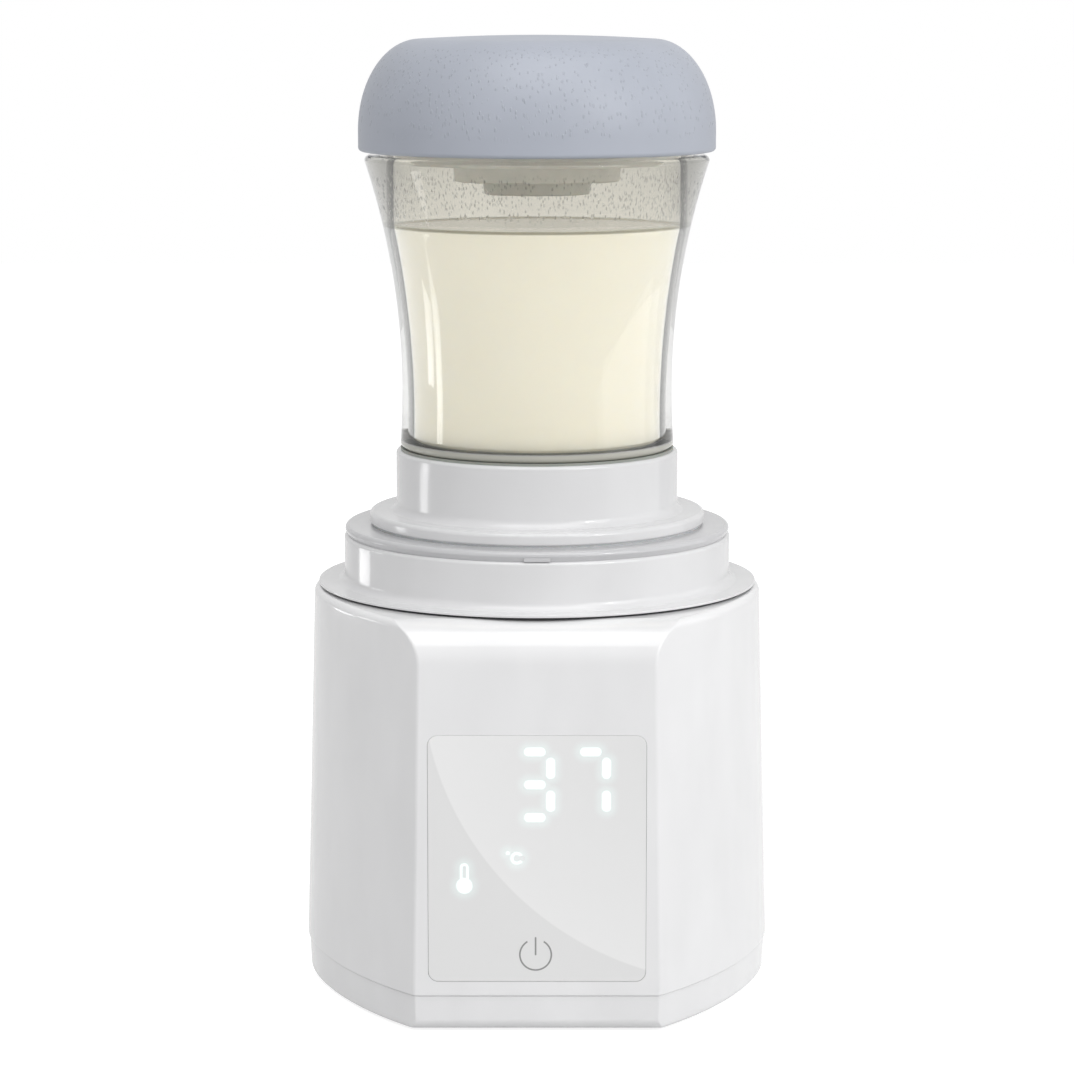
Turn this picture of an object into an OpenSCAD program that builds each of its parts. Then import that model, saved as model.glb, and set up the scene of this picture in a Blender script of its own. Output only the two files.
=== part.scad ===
/* [Body] */
// Half width of the body at the bottom seam, side to side
body_half_w = 51.6; // [50.5:0.1:56]
// Half depth of the body at the bottom seam, front to back
body_half_d = 54.9; // [53:0.1:60]
// Half width of the flat front at the bottom seam
front_half_w = 25.9; // [25:0.1:29]
// Height of the body shell, from the bottom seam to its flat top
body_h = 79.1; // [78:0.1:95]
// How much the half width shrinks from the seam to the top
draft_w = 2.25; // [1.5:0.05:2.6]
// How much the half depth shrinks from the seam to the top
draft_d = 1.2; // [0.6:0.05:2]
// How much the flat front's half width shrinks from the seam to the top
draft_front = 1.25; // [0.6:0.05:1.6]
// Radius of the rounded sides, seen from above
side_arc_r = 57; // [54:0.5:62]
// Angle at which each side arc runs into the flank, seen from above
side_arc_deg = 18; // [14:0.5:20]
// Radius of the four upright creases beside the flat front and back
crease_r = 1.2; // [0.6:0.1:2]
// Radius of the shoulder above the flat front and back
shoulder_r = 8.6; // [7:0.1:8.8]
// Radius of the top edge along the sides and flanks
top_edge_r = 1.5; // [0.8:0.1:1.6]
// Wall thickness of the body shell
shell_wall = 2.2; // [1.8:0.1:2.4]

/* [Base cover] */
// Height of the base cover, from its underside to the seam
cover_h = 7.8; // [7:0.1:10]
// Step from the body shell in to the base cover at the seam
cover_step = 0.35; // [0.2:0.05:0.8]
// How much the base cover draws in from the seam to the underside
cover_taper = 0.35; // [0:0.05:0.8]
// Radius of the base cover's lower front and back edges
cover_edge_r = 2.6; // [1.5:0.1:3]
// Radius of the base cover's lower side edges
cover_side_edge_r = 1.2; // [0.6:0.1:2]
// Thickness of the base cover's floor
cover_floor_t = 2; // [1.6:0.1:2.6]
// Height of the lip that reaches up inside the body shell
cover_lip_h = 3; // [2:0.1:4]
// Radius of each rubber foot
foot_r = 5.5; // [4:0.1:6.5]
// How far the feet stand below the base cover
foot_proud = 0.6; // [0.4:0.1:1.2]
// Depth of the recess that holds each foot
foot_recess = 1; // [0.6:0.1:1.2]

/* [Display] */
// Half width of the display window
window_half_w = 22.9; // [21:0.1:23.4]
// Height of the window's lower edge above the seam
window_low = 3.1; // [2.8:0.1:6]
// Height of the display window
window_h = 52.8; // [48:0.1:56]
// Corner radius of the display window
window_corner_r = 2.2; // [1:0.1:3]
// Thickness of the display lens
lens_t = 1.5; // [1.2:0.1:1.6]
// Width of the ledge behind the lens
ledge_w = 1.6; // [1:0.1:2.2]
// Height of a digit, between the middles of its top and bottom bars
digit_h = 14; // [12:0.1:15]
// Width of a digit, between the middles of its upright bars
digit_w = 6.6; // [6:0.1:7.2]
// Distance from one digit to the next
digit_pitch = 11.65; // [10.5:0.05:12]
// Width of a lit bar
bar_w = 1.6; // [1.2:0.1:1.8]
// Length of a lit bar
bar_l = 4.7; // [4:0.1:4.9]
// Thickness of the display board and the main board
board_t = 1.6; // [1.2:0.1:2]

/* [Collar] */
// Radius of the collar's flange
collar_flange_r = 48.4; // [47.8:0.1:48.8]
// Outer radius of the collar's upright wall
collar_r = 42.7; // [42.2:0.1:43.2]
// Height of the collar above its gasket
collar_h = 10.8; // [10:0.1:14]
// Thickness of the collar's flange
collar_flange_t = 0.5; // [0.4:0.05:1]
// Radius of the fillet from the flange up to the wall
collar_fillet_r = 1.8; // [1:0.1:4]
// Radius of the threaded bore that takes the outer adapter
collar_bore_r = 39.9; // [39.6:0.1:40.2]
// Thickness of the dark gasket under the flange
gasket_t = 0.5; // [0.4:0.1:1]
// How far the gasket lies back from the flange's edge
gasket_inset = 0.8; // [0.4:0.1:1.4]

/* [Adapters] */
// Radius of the outer adapter's disc
disc_r = 42.5; // [42:0.1:43]
// Thickness of the outer adapter's disc
disc_t = 2.1; // [1.8:0.1:3]
// Width of the index tab on the front of the outer adapter's disc
index_w = 5.6; // [3:0.1:8]
// Height of the index tab
index_h = 0.8; // [0.5:0.05:1.2]
// Depth of each adapter's threaded skirt below its flange
skirt_depth = 8.6; // [7.8:0.1:9]
// Radius of the outer adapter's bore, which takes the inner adapter
outer_bore_r = 35.2; // [35:0.1:35.4]
// Radius of the inner adapter's flange
flange_r = 37; // [36.4:0.1:38]
// Thickness of the inner adapter's flange
flange_t = 2.7; // [2.2:0.1:3.2]
// Outer radius of the inner adapter's neck
neck_r = 31.1; // [30.9:0.1:31.4]
// Height of the neck above its flange
neck_h = 13.4; // [12:0.1:15]
// Radius of the neck's bore, which takes the container's foot
neck_bore_r = 29.5; // [29.3:0.1:29.6]
// Thickness of the silicone seals under the adapters' flanges
seal_t = 0.4; // [0.3:0.1:0.8]

/* [Container] */
// Height of the container's clear body, from its shoulder to its lip
vessel_h = 64.1; // [58:0.1:80]
// Radius of the container at its waist
waist_r = 29.7; // [29.5:0.1:30.2]
// Height of the waist above the container's lower shoulder
waist_up = 13.1; // [10:0.1:16]
// Radius of the long hollow curve of the outer wall
flare_r = 160; // [155:1:200]
// Inner radius at the narrowest place
hollow_r = 27.1; // [26.5:0.1:27.4]
// Height of that narrowest place above the container's inner floor
hollow_up = 5.9; // [4:0.1:8]
// Radius of the long hollow curve of the inner wall
hollow_flare_r = 207; // [200:1:240]
// Radius of the container's straight mouth
mouth_r = 31.35; // [31.2:0.05:31.5]
// Thickness of the container's floor
vessel_floor_t = 2.5; // [2:0.1:3]
// Height of the inner floor above the container's lower shoulder
floor_up = 1.2; // [1:0.1:1.6]
// Depth of the threaded foot below the shoulder
foot_depth = 8.9; // [8.5:0.1:9.5]
// Wall thickness of the threaded foot
foot_wall = 2.8; // [2.4:0.1:3]
// Radius of the rounded lip
lip_r = 1.2; // [0.8:0.1:1.6]
// Height of the threaded mouth above the lip
mouth_h = 11; // [10:0.1:13]
// Wall thickness of the threaded mouth
mouth_wall = 2.85; // [2.6:0.05:3]
// Thickness of the silicone ring under the container's shoulder
foot_ring_t = 0.5; // [0.4:0.1:0.8]

/* [Lid] */
// Largest radius of the lid
lid_r = 39; // [38.6:0.1:41]
// Gap between the container's lip and the lid's lower edge
lid_gap = 0.8; // [0.6:0.1:2]
// Height of the lid
lid_h = 25; // [23.8:0.1:30]
// Height above the lid's lower edge at which its dome starts
dome_up = 4.4; // [3:0.1:6]
// Radius at which the lid's dome turns into its crowned top
lid_top_r = 25.5; // [24:0.1:28]
// Wall thickness of the dome
lid_wall = 1.9; // [1.5:0.1:2.2]
// Rise of the lid's crowned top, from its edge to its middle
lid_crown = 0.8; // [0.2:0.1:1.6]
// How far the stopper's wall hangs below the container's rim
stopper_depth = 12.6; // [11:0.1:15.5]
// Wall thickness of the stopper
stopper_wall = 1.3; // [1:0.1:1.6]
// Radius of the stopper's middle step
step_one_r = 18; // [15:0.1:22]
// Drop of the stopper's middle step
step_one_drop = 3.7; // [1.6:0.1:4.5]
// Radius of the stopper's lowest step
step_two_r = 11.5; // [9:0.1:12.5]
// Drop of the stopper's lowest step
step_two_drop = 2.8; // [1.6:0.1:3.5]
// Thickness of the stopper's rim
stopper_rim_t = 1.2; // [1:0.1:1.6]
// Thickness of the gasket under the stopper's rim
stopper_gasket_t = 0.6; // [0.4:0.1:0.8]

/* [Threads] */
// Radial height of a thread
thread_depth = 0.9; // [0.7:0.05:1]
// Clearance between a thread and the wall or thread that faces it
thread_gap = 0.3; // [0.25:0.05:0.4]
// Rise in one turn of the two adapters' six-start threads
adapter_lead = 26; // [25:0.5:30]
// Rise in one turn of the container foot's four-start thread
foot_lead = 16; // [15:0.5:18]
// Rise in one turn of the lid's four-start thread
lid_lead = 21; // [20.5:0.5:24]

/* [Heater] */
// Radius of the stainless heating plate
plate_r = 24.3; // [23:0.1:24.5]
// Thickness of the heating plate
plate_t = 0.8; // [0.6:0.1:1]
// Height of the heating plate's skirt
plate_skirt_h = 4.7; // [4:0.1:5]
// Gap between the heating plate and the container's underside
plate_gap = 0.4; // [0.3:0.1:0.6]
// Wall thickness of the heater tower
tower_wall = 2; // [1.6:0.1:2.2]
// Radius of the heater tower's wide lower part
tower_base_r = 28; // [27:0.1:29]
// Height of the heater tower's wide lower part
tower_base_h = 11; // [8:0.1:13]
// Thickness of the deck that closes the top of the body
deck_t = 2.6; // [2:0.1:3]

/* [Battery] */
// Diameter of a battery cell
cell_d = 21.2; // [18.4:0.1:21.8]
// Length of a battery cell
cell_l = 70; // [65:0.1:70.5]
// Gap between neighbouring cells
cell_gap = 1.2; // [1:0.1:1.6]
// Depth of the pockets that hold the cells' ends
pocket_depth = 6; // [4:0.1:8]

/* [Fasteners] */
// Radius of the base screws' shanks
screw_r = 1.45; // [1.2:0.05:1.6]
// Radius of the small screws' shanks
small_screw_r = 0.95; // [0.8:0.05:1]
// Gap around a screw, a cell or a board in its seat
seat_gap = 0.1; // [0.05:0.05:0.15]

/* [Hidden] */

// Facets that stand for a full circle
round_fn = 96;
// Overlap that joins two shapes of one piece
bite = 0.4;

// Levels, from the surface that the warmer stands on
cover_z = foot_proud;
seam_z = cover_z + cover_h;
body_top_z = seam_z + body_h;
ceiling_z = body_top_z - shell_wall - 0.2;
collar_z = body_top_z + gasket_t;
collar_top_z = collar_z + collar_h;
disc_top_z = collar_top_z + disc_t;
flange_z = disc_top_z + seal_t;
flange_top_z = flange_z + flange_t;
neck_top_z = flange_top_z + neck_h;
shoulder_z = neck_top_z + foot_ring_t;
vessel_floor_z = shoulder_z + floor_up;
waist_z = shoulder_z + waist_up;
hollow_z = vessel_floor_z + hollow_up;
lip_z = shoulder_z + vessel_h;
rim_z = lip_z + mouth_h;
stopper_rim_z = rim_z + stopper_gasket_t;
stopper_top_z = stopper_rim_z + stopper_rim_t;
lid_z = lip_z + lid_gap;
lid_top_z = lid_z + lid_h;
plate_top_z = vessel_floor_z - vessel_floor_t - plate_gap;
deck_z = ceiling_z - deck_t;

// Cells, tray and cap
cell_r = cell_d / 2;
cell_place = cell_r + cell_gap / 2;
tab_t = 0.3;
tray_floor_t = 2.4;
tab_z = cover_z + cover_floor_t + tray_floor_t;
cell_z = tab_z + tab_t;
cell_top_z = cell_z + cell_l;
cap_floor_t = 2.6;
cap_floor_z = cell_top_z + tab_t;
cap_top_z = cap_floor_z + cap_floor_t;
pack_half_w = 2 * cell_r + cell_gap / 2 + 1.9;
small_head_r = 2 * small_screw_r;
small_head_h = 1.2;

// Profiles and turned shapes

function arc(cx, cy, r, a0, a1, n) = [
    for (i = [0 : n]) let (a = a0 + (a1 - a0) * i / n) [cx + r * cos(a), cy + r * sin(a)]
];
function ellipse_arc(cx, cy, rx, ry, a0, a1, n) = [
    for (i = [0 : n]) let (a = a0 + (a1 - a0) * i / n) [cx + rx * cos(a), cy + ry * sin(a)]
];
// Height lost to a rounded edge of radius r that ends at top_z
function edge_drop(z, top_z, r) =
    z <= top_z - r ? 0 : r - sqrt(max(0, r * r - pow(z - top_z + r, 2)));

module turned(points) {
    rotate_extrude($fn = round_fn) polygon(points);
}

module ring(r_out, r_in, z0, z1) {
    turned([[r_in, z0], [r_out, z0], [r_out, z1], [r_in, z1]]);
}

module disc(r, z0, z1) {
    translate([0, 0, z0]) cylinder(h = z1 - z0, r = r, $fn = round_fn);
}

// A closed skin over a stack of rings with as many points each
module loft(rings) {
    n = len(rings[0]);
    m = len(rings);
    points = [for (r = rings) for (p = r) p];
    lower = [for (i = [0 : n - 1]) i];
    upper = [for (i = [n - 1 : -1 : 0]) (m - 1) * n + i];
    sides = [
        for (j = [0 : m - 2]) for (i = [0 : n - 1])
            let (a = j * n + i, b = j * n + (i + 1) % n)
            each [[a, a + n, b + n], [a, b + n, b]]
    ];
    polyhedron(points = points, faces = concat([lower], [upper], sides), convexity = 6);
}

// Body outline, seen from above

// Centre and radius of the flank arc that runs from the side arc to the front corner
function flank(half_w, half_d, front_w) =
    let (
        side_cx = half_w - side_arc_r,
        px = front_w - side_cx,
        reach = px * cos(side_arc_deg) + half_d * sin(side_arc_deg),
        more = (px * px + half_d * half_d - side_arc_r * side_arc_r) / (2 * (side_arc_r - reach))
    )
    [side_cx - more * cos(side_arc_deg), -more * sin(side_arc_deg), side_arc_r + more];

// One quarter of the outline, without the point on the X axis
function quarter(half_w, half_d, front_w, inset, depth) =
    let (
        f = flank(half_w, half_d, front_w),
        r = f[2] - inset,
        cr = max(crease_r - inset, 0.3),
        cy = depth - cr,
        cx = f[0] + sqrt(pow(r - cr, 2) - pow(cy - f[1], 2)),
        turn = atan2(cy - f[1], cx - f[0]),
        side = arc(half_w - side_arc_r, 0, side_arc_r - inset, 0, side_arc_deg, 3),
        long = arc(f[0], f[1], r, side_arc_deg, turn, 9),
        crease = arc(cx, cy, cr, turn, 90, 3)
    )
    concat([for (i = [1 : 3]) side[i]], [for (i = [1 : 9]) long[i]], [for (i = [1 : 3]) crease[i]]);

function outline(half_w, half_d, front_w, inset, depth) =
    let (
        q = quarter(half_w, half_d, front_w, inset, depth),
        last = len(q) - 1
    )
    concat(
        [[half_w - inset, 0]],
        q,
        [for (i = [last : -1 : 0]) [-q[i][0], q[i][1]]],
        [[inset - half_w, 0]],
        [for (p = q) [-p[0], -p[1]]],
        [for (i = [last : -1 : 0]) [q[i][0], -q[i][1]]]
    );

// Sizes of the drafted body at height z
function narrowing(z) = max(0, z - seam_z) / body_h;
function half_w_at(z) = body_half_w - draft_w * narrowing(z);
function half_d_at(z) = body_half_d - draft_d * narrowing(z);
function front_w_at(z) = front_half_w - draft_front * narrowing(z);

// One ring of the body, set in by a wall, with its shoulder and top edge rounded
function body_ring(z, inset, top_z, shoulder, edge) = [
    for (p = outline(
        half_w_at(z), half_d_at(z), front_w_at(z),
        inset + edge_drop(z, top_z, edge),
        half_d_at(z) - inset - edge_drop(z, top_z, shoulder)
    )) [p[0], p[1], z]
];

// Angles up the shoulder, closer together where the top edge turns
shoulder_steps = [0, 15, 30, 45, 55, 63, 70, 76, 82, 90];

module body_solid(inset, low_z, top_z, shoulder, edge) {
    rings = concat(
        [body_ring(low_z, inset, top_z, shoulder, edge)],
        [for (a = shoulder_steps) body_ring(top_z - shoulder + shoulder * sin(a), inset, top_z, shoulder, edge)]
    );
    loft(rings);
}

// One ring of the base cover, which draws in downwards and has rounded lower edges
function cover_ring(z, inset) =
    let (
        draw = cover_step + cover_taper * (seam_z - z) / cover_h + inset,
        side_drop = edge_drop(-z, -cover_z, cover_side_edge_r),
        front_drop = edge_drop(-z, -cover_z, cover_edge_r)
    )
    [
        for (p = outline(body_half_w, body_half_d, front_half_w, draw + side_drop, body_half_d - draw - front_drop))
            [p[0], p[1], z]
    ];

module cover_solid() {
    edge_z = [for (a = [90 : -18 : 0]) cover_z + cover_edge_r * (1 - sin(a))];
    loft([for (z = concat(edge_z, [seam_z])) cover_ring(z, 0)]);
}

module flat_outline(inset, z0, z1) {
    translate([0, 0, z0])
        linear_extrude(z1 - z0)
            polygon(outline(body_half_w, body_half_d, front_half_w, inset, body_half_d - inset));
}

// Places the children on the front face: x to the right, y up the face, z outwards
lean_deg = atan2(draft_d, body_h);
module on_front() {
    translate([0, -body_half_d, seam_z]) rotate([-lean_deg, 0, 0]) rotate([90, 0, 0]) children();
}

module rounded_plate(half_w, h, r, t) {
    linear_extrude(t) {
        translate([-half_w, r]) square([2 * half_w, h - 2 * r]);
        translate([r - half_w, 0]) square([2 * (half_w - r), h]);
        for (x = [r - half_w, half_w - r], y = [r, h - r]) translate([x, y]) circle(r, $fn = 48);
    }
}

// Charging socket and the main board that carries it
usb_up = 11.6;
usb_set_back = 0.6;
usb_length = 10.4;
usb_z = seam_z + usb_up;
usb_y = half_d_at(usb_z) - usb_set_back - usb_length;
main_board_y = usb_y - board_t;
main_board_half_w = front_half_w + 1.1;

// Base cover wall and the lip inside the shell
cover_in = cover_step + cover_taper + 2;
lip_gap = 0.25;
cover_lip_t = 1.4;

// Screw posts beside the flanks
boss_wall = 2.1;
boss_r = screw_r + boss_wall;
boss_h = 30;
boss_sink = 0.8;
boss_gap = 0.4;
seam_flank = flank(body_half_w, body_half_d, front_half_w);
boss_out = seam_flank[2] - shell_wall - boss_r + boss_sink;
boss_y = main_board_y - boss_r - boss_gap;
boss_x = seam_flank[0] + sqrt(pow(boss_out, 2) - pow(boss_y - seam_flank[1], 2));
screw_head_r = 2 * screw_r;
screw_head_h = 1.8;
screw_seat_up = 2.8;
screw_reach = 14;
screw_seat_z = cover_z + screw_seat_up;
screw_top_z = seam_z + screw_reach;
cross_l = 3.4;
cross_w = 0.8;
cross_h = 0.8;

module at_bosses() {
    for (x = [-boss_x, boss_x], y = [-boss_y, boss_y]) translate([x, y, 0]) children();
}

// Rubber feet stand inside the screw posts
foot_gap = 2.8;
foot_back = 4;
foot_x = boss_x - boss_r - foot_r - foot_gap;
foot_y = boss_y - foot_back;
module at_feet() {
    for (x = [-foot_x, foot_x], y = [-foot_y, foot_y]) translate([x, y, 0]) children();
}

// Display parts, in the front face's own directions
ledge_h = window_h - 2 * ledge_w;
ledge_half_w = window_half_w - ledge_w;
guide_depth = 4.2;
guide_back = lens_t + guide_depth;
guide_flange_t = 1.2;
board_back = guide_back + board_t;
board_half_w = window_half_w + 0.3;
board_low = cover_lip_h + 0.2;
board_top = window_low + window_h + 4.6;
display_screw_bite = 1;
led_l = 2;
led_w = 1.2;
ledge_corner_r = 1;
display_screw_x = board_half_w - 2.2;
display_screw_y = board_top - 2.2;
led_t = 0.6;
pipe_t = guide_depth - led_t - 0.2;
digits_drop = 10.5;
degree_drop = 26.2;
thermo_drop = 30.6;
touch_up = 7.4;
digits_mid_y = window_low + window_h - digits_drop;
digit_one_x = -0.45;
degree_x = -4.6;
degree_y = window_low + window_h - degree_drop;
thermo_x = -15;
thermo_y = window_low + window_h - thermo_drop;
touch_x = 0;
touch_y = window_low + touch_up;
touch_r = 5.2;
touch_t = 0.3;
touch_post_r = 1.2;

// The lit bars of each digit: which of the seven are on, from the top bar clockwise, then the middle
three_bars = [1, 1, 1, 1, 0, 0, 1];
seven_bars = [1, 1, 1, 0, 0, 0, 0];

// Middle and direction of each of the seven bars, for a digit in the middle of its place
function bar_places() = [
    [0, digit_h / 2, 0],
    [digit_w / 2, digit_h / 4, 90],
    [digit_w / 2, -digit_h / 4, 90],
    [0, -digit_h / 2, 0],
    [-digit_w / 2, -digit_h / 4, 90],
    [-digit_w / 2, digit_h / 4, 90],
    [0, 0, 0]
];

module bar(grow) {
    square([bar_l - bar_w, bar_w + 2 * grow], center = true);
    for (x = [bar_w / 2 - bar_l / 2, bar_l / 2 - bar_w / 2]) translate([x, 0]) circle(bar_w / 2 + grow, $fn = 24);
}

module digit_bars(lit, grow) {
    places = bar_places();
    for (i = [0 : 6])
        if (lit[i] == 1)
            translate([places[i][0], places[i][1]]) rotate(places[i][2]) bar(grow);
}

module digits_shape(grow) {
    translate([digit_one_x, digits_mid_y]) digit_bars(three_bars, grow);
    translate([digit_one_x + digit_pitch, digits_mid_y]) digit_bars(seven_bars, grow);
}

module thermometer_shape(grow) {
    translate([thermo_x, thermo_y - 2.1]) circle(1.6 + grow, $fn = 32);
    translate([thermo_x, thermo_y + 0.4]) square([1.6 + 2 * grow, 4.6], center = true);
    translate([thermo_x, thermo_y + 2.7]) circle(0.8 + grow, $fn = 24);
}

module degree_shape(grow) {
    translate([degree_x - 1.5, degree_y + 0.9]) circle(0.45 + grow, $fn = 24);
    translate([degree_x + 0.4, degree_y])
        difference() {
            circle(1.3 + grow, $fn = 32);
            circle(0.8 - grow, $fn = 32);
            translate([0.9, 0]) square([1.4, 0.9 - 2 * grow], center = true);
        }
}

module pushed_back(depth, t) {
    on_front() translate([0, 0, -depth - t]) linear_extrude(t) children();
}

// Threads

// One helical ridge: outward from a shaft, or inward from a bore
module ridge(r, way, lead, starts, start_deg, span_deg, z0) {
    steps = ceil(span_deg / 10);
    root_w = lead_share(lead, starts);
    crest_w = root_w / 2;
    rings = [
        for (i = [0 : steps])
            let (
                t = i / steps,
                a = start_deg + span_deg * t,
                z = z0 + lead * span_deg * t / 360,
                fade = min(1, 0.25 + 4 * min(t, 1 - t)),
                h = thread_depth * fade,
                w = crest_w * fade
            )
            [
                [r - way * bite, z - root_w / 2, a],
                [r - way * bite, z + root_w / 2, a],
                [r + way * h, z + w / 2, a],
                [r + way * h, z - w / 2, a]
            ]
    ];
    points = [for (q = rings) for (p = q) [p[0] * cos(p[2]), p[0] * sin(p[2]), p[1]]];
    m = len(rings);
    lower = way > 0 ? [0, 1, 2, 3] : [3, 2, 1, 0];
    sides = [
        for (j = [0 : m - 2]) for (i = [0 : 3])
            let (a = j * 4 + i, b = j * 4 + (i + 1) % 4)
            each way > 0 ? [[a, a + 4, b + 4], [a, b + 4, b]] : [[a, b + 4, a + 4], [a, b, b + 4]]
    ];
    upper = [for (i = [3 : -1 : 0]) (m - 1) * 4 + lower[i]];
    polyhedron(points = points, faces = concat([lower], [upper], sides), convexity = 4);
}

// Root width of a ridge, from the rise between neighbouring starts
function lead_share(lead, starts) = 0.52 * lead / starts;

// All starts of a thread; the facing thread is set off by half the rise between starts
module thread(r, way, lead, starts, z0, span_deg) {
    shift = way > 0 ? 0 : 180 / starts;
    for (s = [0 : starts - 1]) ridge(r, way, lead, starts, 360 * s / starts + shift, span_deg, z0);
}

adapter_starts = 6;
foot_starts = 4;
lid_starts = 4;

adapter_span = 50;
foot_span = 66;
lid_span = 76;

// Radii that follow from the bores and the thread
outer_skirt_r = collar_bore_r - thread_depth - thread_gap;
inner_skirt_r = outer_bore_r - thread_depth - thread_gap;
vessel_foot_r = neck_bore_r - thread_depth - thread_gap;
mouth_out_r = mouth_r + mouth_wall;
lid_bore_r = mouth_out_r + thread_depth + thread_gap;
inner_skirt_bore_r = neck_bore_r + 1.8;
outer_skirt_z = collar_top_z - skirt_depth;
inner_skirt_z = flange_z - skirt_depth;
vessel_foot_z = shoulder_z - foot_depth;
adapter_thread_z = outer_skirt_z + 2;
inner_thread_z = inner_skirt_z + 2;
foot_thread_z = vessel_foot_z + 2.2;
mouth_thread_z = lip_z + 3.2;

// Height at which the inner wall turns straight, and the outer and inner radii at height z
mouth_in_z = hollow_z + sqrt(pow(hollow_flare_r, 2) - pow(hollow_flare_r + hollow_r - mouth_r, 2));
function vessel_out(z) = waist_r + flare_r - sqrt(flare_r * flare_r - pow(z - waist_z, 2));
function vessel_in(z) =
    min(mouth_r, hollow_r + hollow_flare_r - sqrt(pow(hollow_flare_r, 2) - pow(z - hollow_z, 2)));

// Collar, deck and screws that the body shell shares
collar_spigot_r = collar_bore_r + 3.7;
spigot_gap = 0.4;
deck_r = collar_spigot_r + spigot_gap + 0.7;
collar_screw_place = (collar_bore_r + collar_spigot_r) / 2;
collar_screw_top_z = collar_z + collar_flange_t - 0.9;

module at_collar_screws() {
    for (a = [45 : 90 : 315]) rotate(a) translate([collar_screw_place, 0, 0]) children();
}

// Body pieces

module body_shell() {
    color("white")
    difference() {
        union() {
            difference() {
                body_solid(0, seam_z, body_top_z, shoulder_r, top_edge_r);
                body_solid(shell_wall, seam_z - 1, ceiling_z, shoulder_r - shell_wall, 0.5);
            }
            at_bosses() disc(boss_r, seam_z, seam_z + boss_h);
        }
        disc(collar_spigot_r + spigot_gap, ceiling_z - 1, body_top_z + 1);
        at_bosses() disc(screw_r + seat_gap / 2, seam_z - 1, screw_top_z + 1);
        on_front()
            translate([0, window_low, -lens_t]) rounded_plate(window_half_w, window_h, window_corner_r, lens_t + 1);
        on_front()
            translate([0, window_low + ledge_w, -shell_wall - 1])
                rounded_plate(ledge_half_w, ledge_h, ledge_corner_r, shell_wall + 2);
        at_display_screws()
            translate([0, 0, -shell_wall - 1])
                cylinder(h = 1 + display_screw_bite, r = small_screw_r + seat_gap / 2, $fn = 48);
        usb_slot(usb_half_w + 2 * seat_gap, usb_half_h + 2 * seat_gap, usb_y, body_half_d + 1);
    }
}

module base_cover() {
    color("white")
    difference() {
        union() {
            difference() {
                cover_solid();
                flat_outline(cover_in, cover_z + cover_floor_t, seam_z + 1);
            }
            difference() {
                flat_outline(shell_wall + lip_gap, seam_z - cover_lip_h, seam_z + cover_lip_h);
                flat_outline(shell_wall + lip_gap + cover_lip_t, seam_z - cover_lip_h - 1, seam_z + cover_lip_h + 1);
                at_bosses() disc(boss_r + lip_gap, seam_z, seam_z + cover_lip_h + 1);
            }
            at_bosses() disc(boss_r, cover_z + cover_floor_t - bite, seam_z);
        }
        at_bosses() disc(screw_r + 2 * seat_gap, cover_z - 1, seam_z + 1);
        at_bosses() disc(screw_head_r + 2 * seat_gap, cover_z - 1, screw_seat_z);
        at_feet() disc(foot_r + seat_gap, cover_z - 1, cover_z + foot_recess);
    }
}

module rubber_feet() {
    color("dimgray") at_feet() disc(foot_r, 0, cover_z + foot_recess);
}

module base_screws() {
    color("silver")
    at_bosses()
        difference() {
            union() {
                disc(screw_head_r, screw_seat_z - screw_head_h, screw_seat_z);
                disc(screw_r, screw_seat_z - bite, screw_top_z);
            }
            for (a = [0, 90])
                rotate(a)
                    translate([0, 0, screw_seat_z - screw_head_h]) cube([cross_l, cross_w, 2 * cross_h], center = true);
        }
}

// Display pieces

module display_lens() {
    color("gainsboro")
    on_front()
        translate([0, window_low + seat_gap, -lens_t])
            rounded_plate(window_half_w - seat_gap, window_h - 2 * seat_gap, window_corner_r - seat_gap, lens_t);
}

module display_digits() {
    color("azure") pushed_back(lens_t, pipe_t) digits_shape(0);
}

module display_icons() {
    color("azure")
    pushed_back(lens_t, pipe_t) {
        degree_shape(0);
        thermometer_shape(0);
    }
}

module board_outline() {
    translate([-board_half_w, board_low]) square([2 * board_half_w, board_top - board_low]);
}

module display_screw_holes(depth, t) {
    at_display_screws() translate([0, 0, -depth - t]) cylinder(h = t, r = small_screw_r + seat_gap, $fn = 48);
}

module light_guide() {
    color("whitesmoke")
    difference() {
        union() {
            on_front()
                translate([0, window_low + ledge_w + 2 * seat_gap, -guide_back])
                    rounded_plate(
                        ledge_half_w - 2 * seat_gap,
                        ledge_h - 4 * seat_gap,
                        ledge_corner_r,
                        guide_depth
                    );
            pushed_back(shell_wall, guide_back - shell_wall) board_outline();
        }
        pushed_back(lens_t - 1, guide_depth + 2) {
            digits_shape(seat_gap);
            degree_shape(seat_gap);
            thermometer_shape(seat_gap);
            translate([touch_x, touch_y]) circle(touch_post_r + seat_gap, $fn = 48);
        }
        pushed_back(lens_t - 1, touch_t + seat_gap + 1)
            translate([touch_x, touch_y]) circle(touch_r + seat_gap, $fn = 64);
        pushed_back(guide_back - led_t - seat_gap, led_t + seat_gap + 1) led_places(seat_gap);
        display_screw_holes(0, board_back);
    }
}

module display_board() {
    color("seagreen")
    difference() {
        pushed_back(guide_back, board_t) board_outline();
        display_screw_holes(guide_back - 1, board_t + 2);
    }
}

// One chip behind each lit bar and each icon
module led_places(grow) {
    places = bar_places();
    for (d = [[digit_one_x, three_bars], [digit_one_x + digit_pitch, seven_bars]], i = [0 : 6])
        if (d[1][i] == 1)
            translate([d[0] + places[i][0], digits_mid_y + places[i][1]])
                rotate(places[i][2]) square([led_l + 2 * grow, led_w + 2 * grow], center = true);
    translate([degree_x, degree_y]) square([led_l + 2 * grow, led_w + 2 * grow], center = true);
    translate([thermo_x, thermo_y - 1]) square([led_w + 2 * grow, led_l + 2 * grow], center = true);
}

module display_leds() {
    color("khaki") pushed_back(guide_back - led_t, led_t) led_places(0);
}

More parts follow.
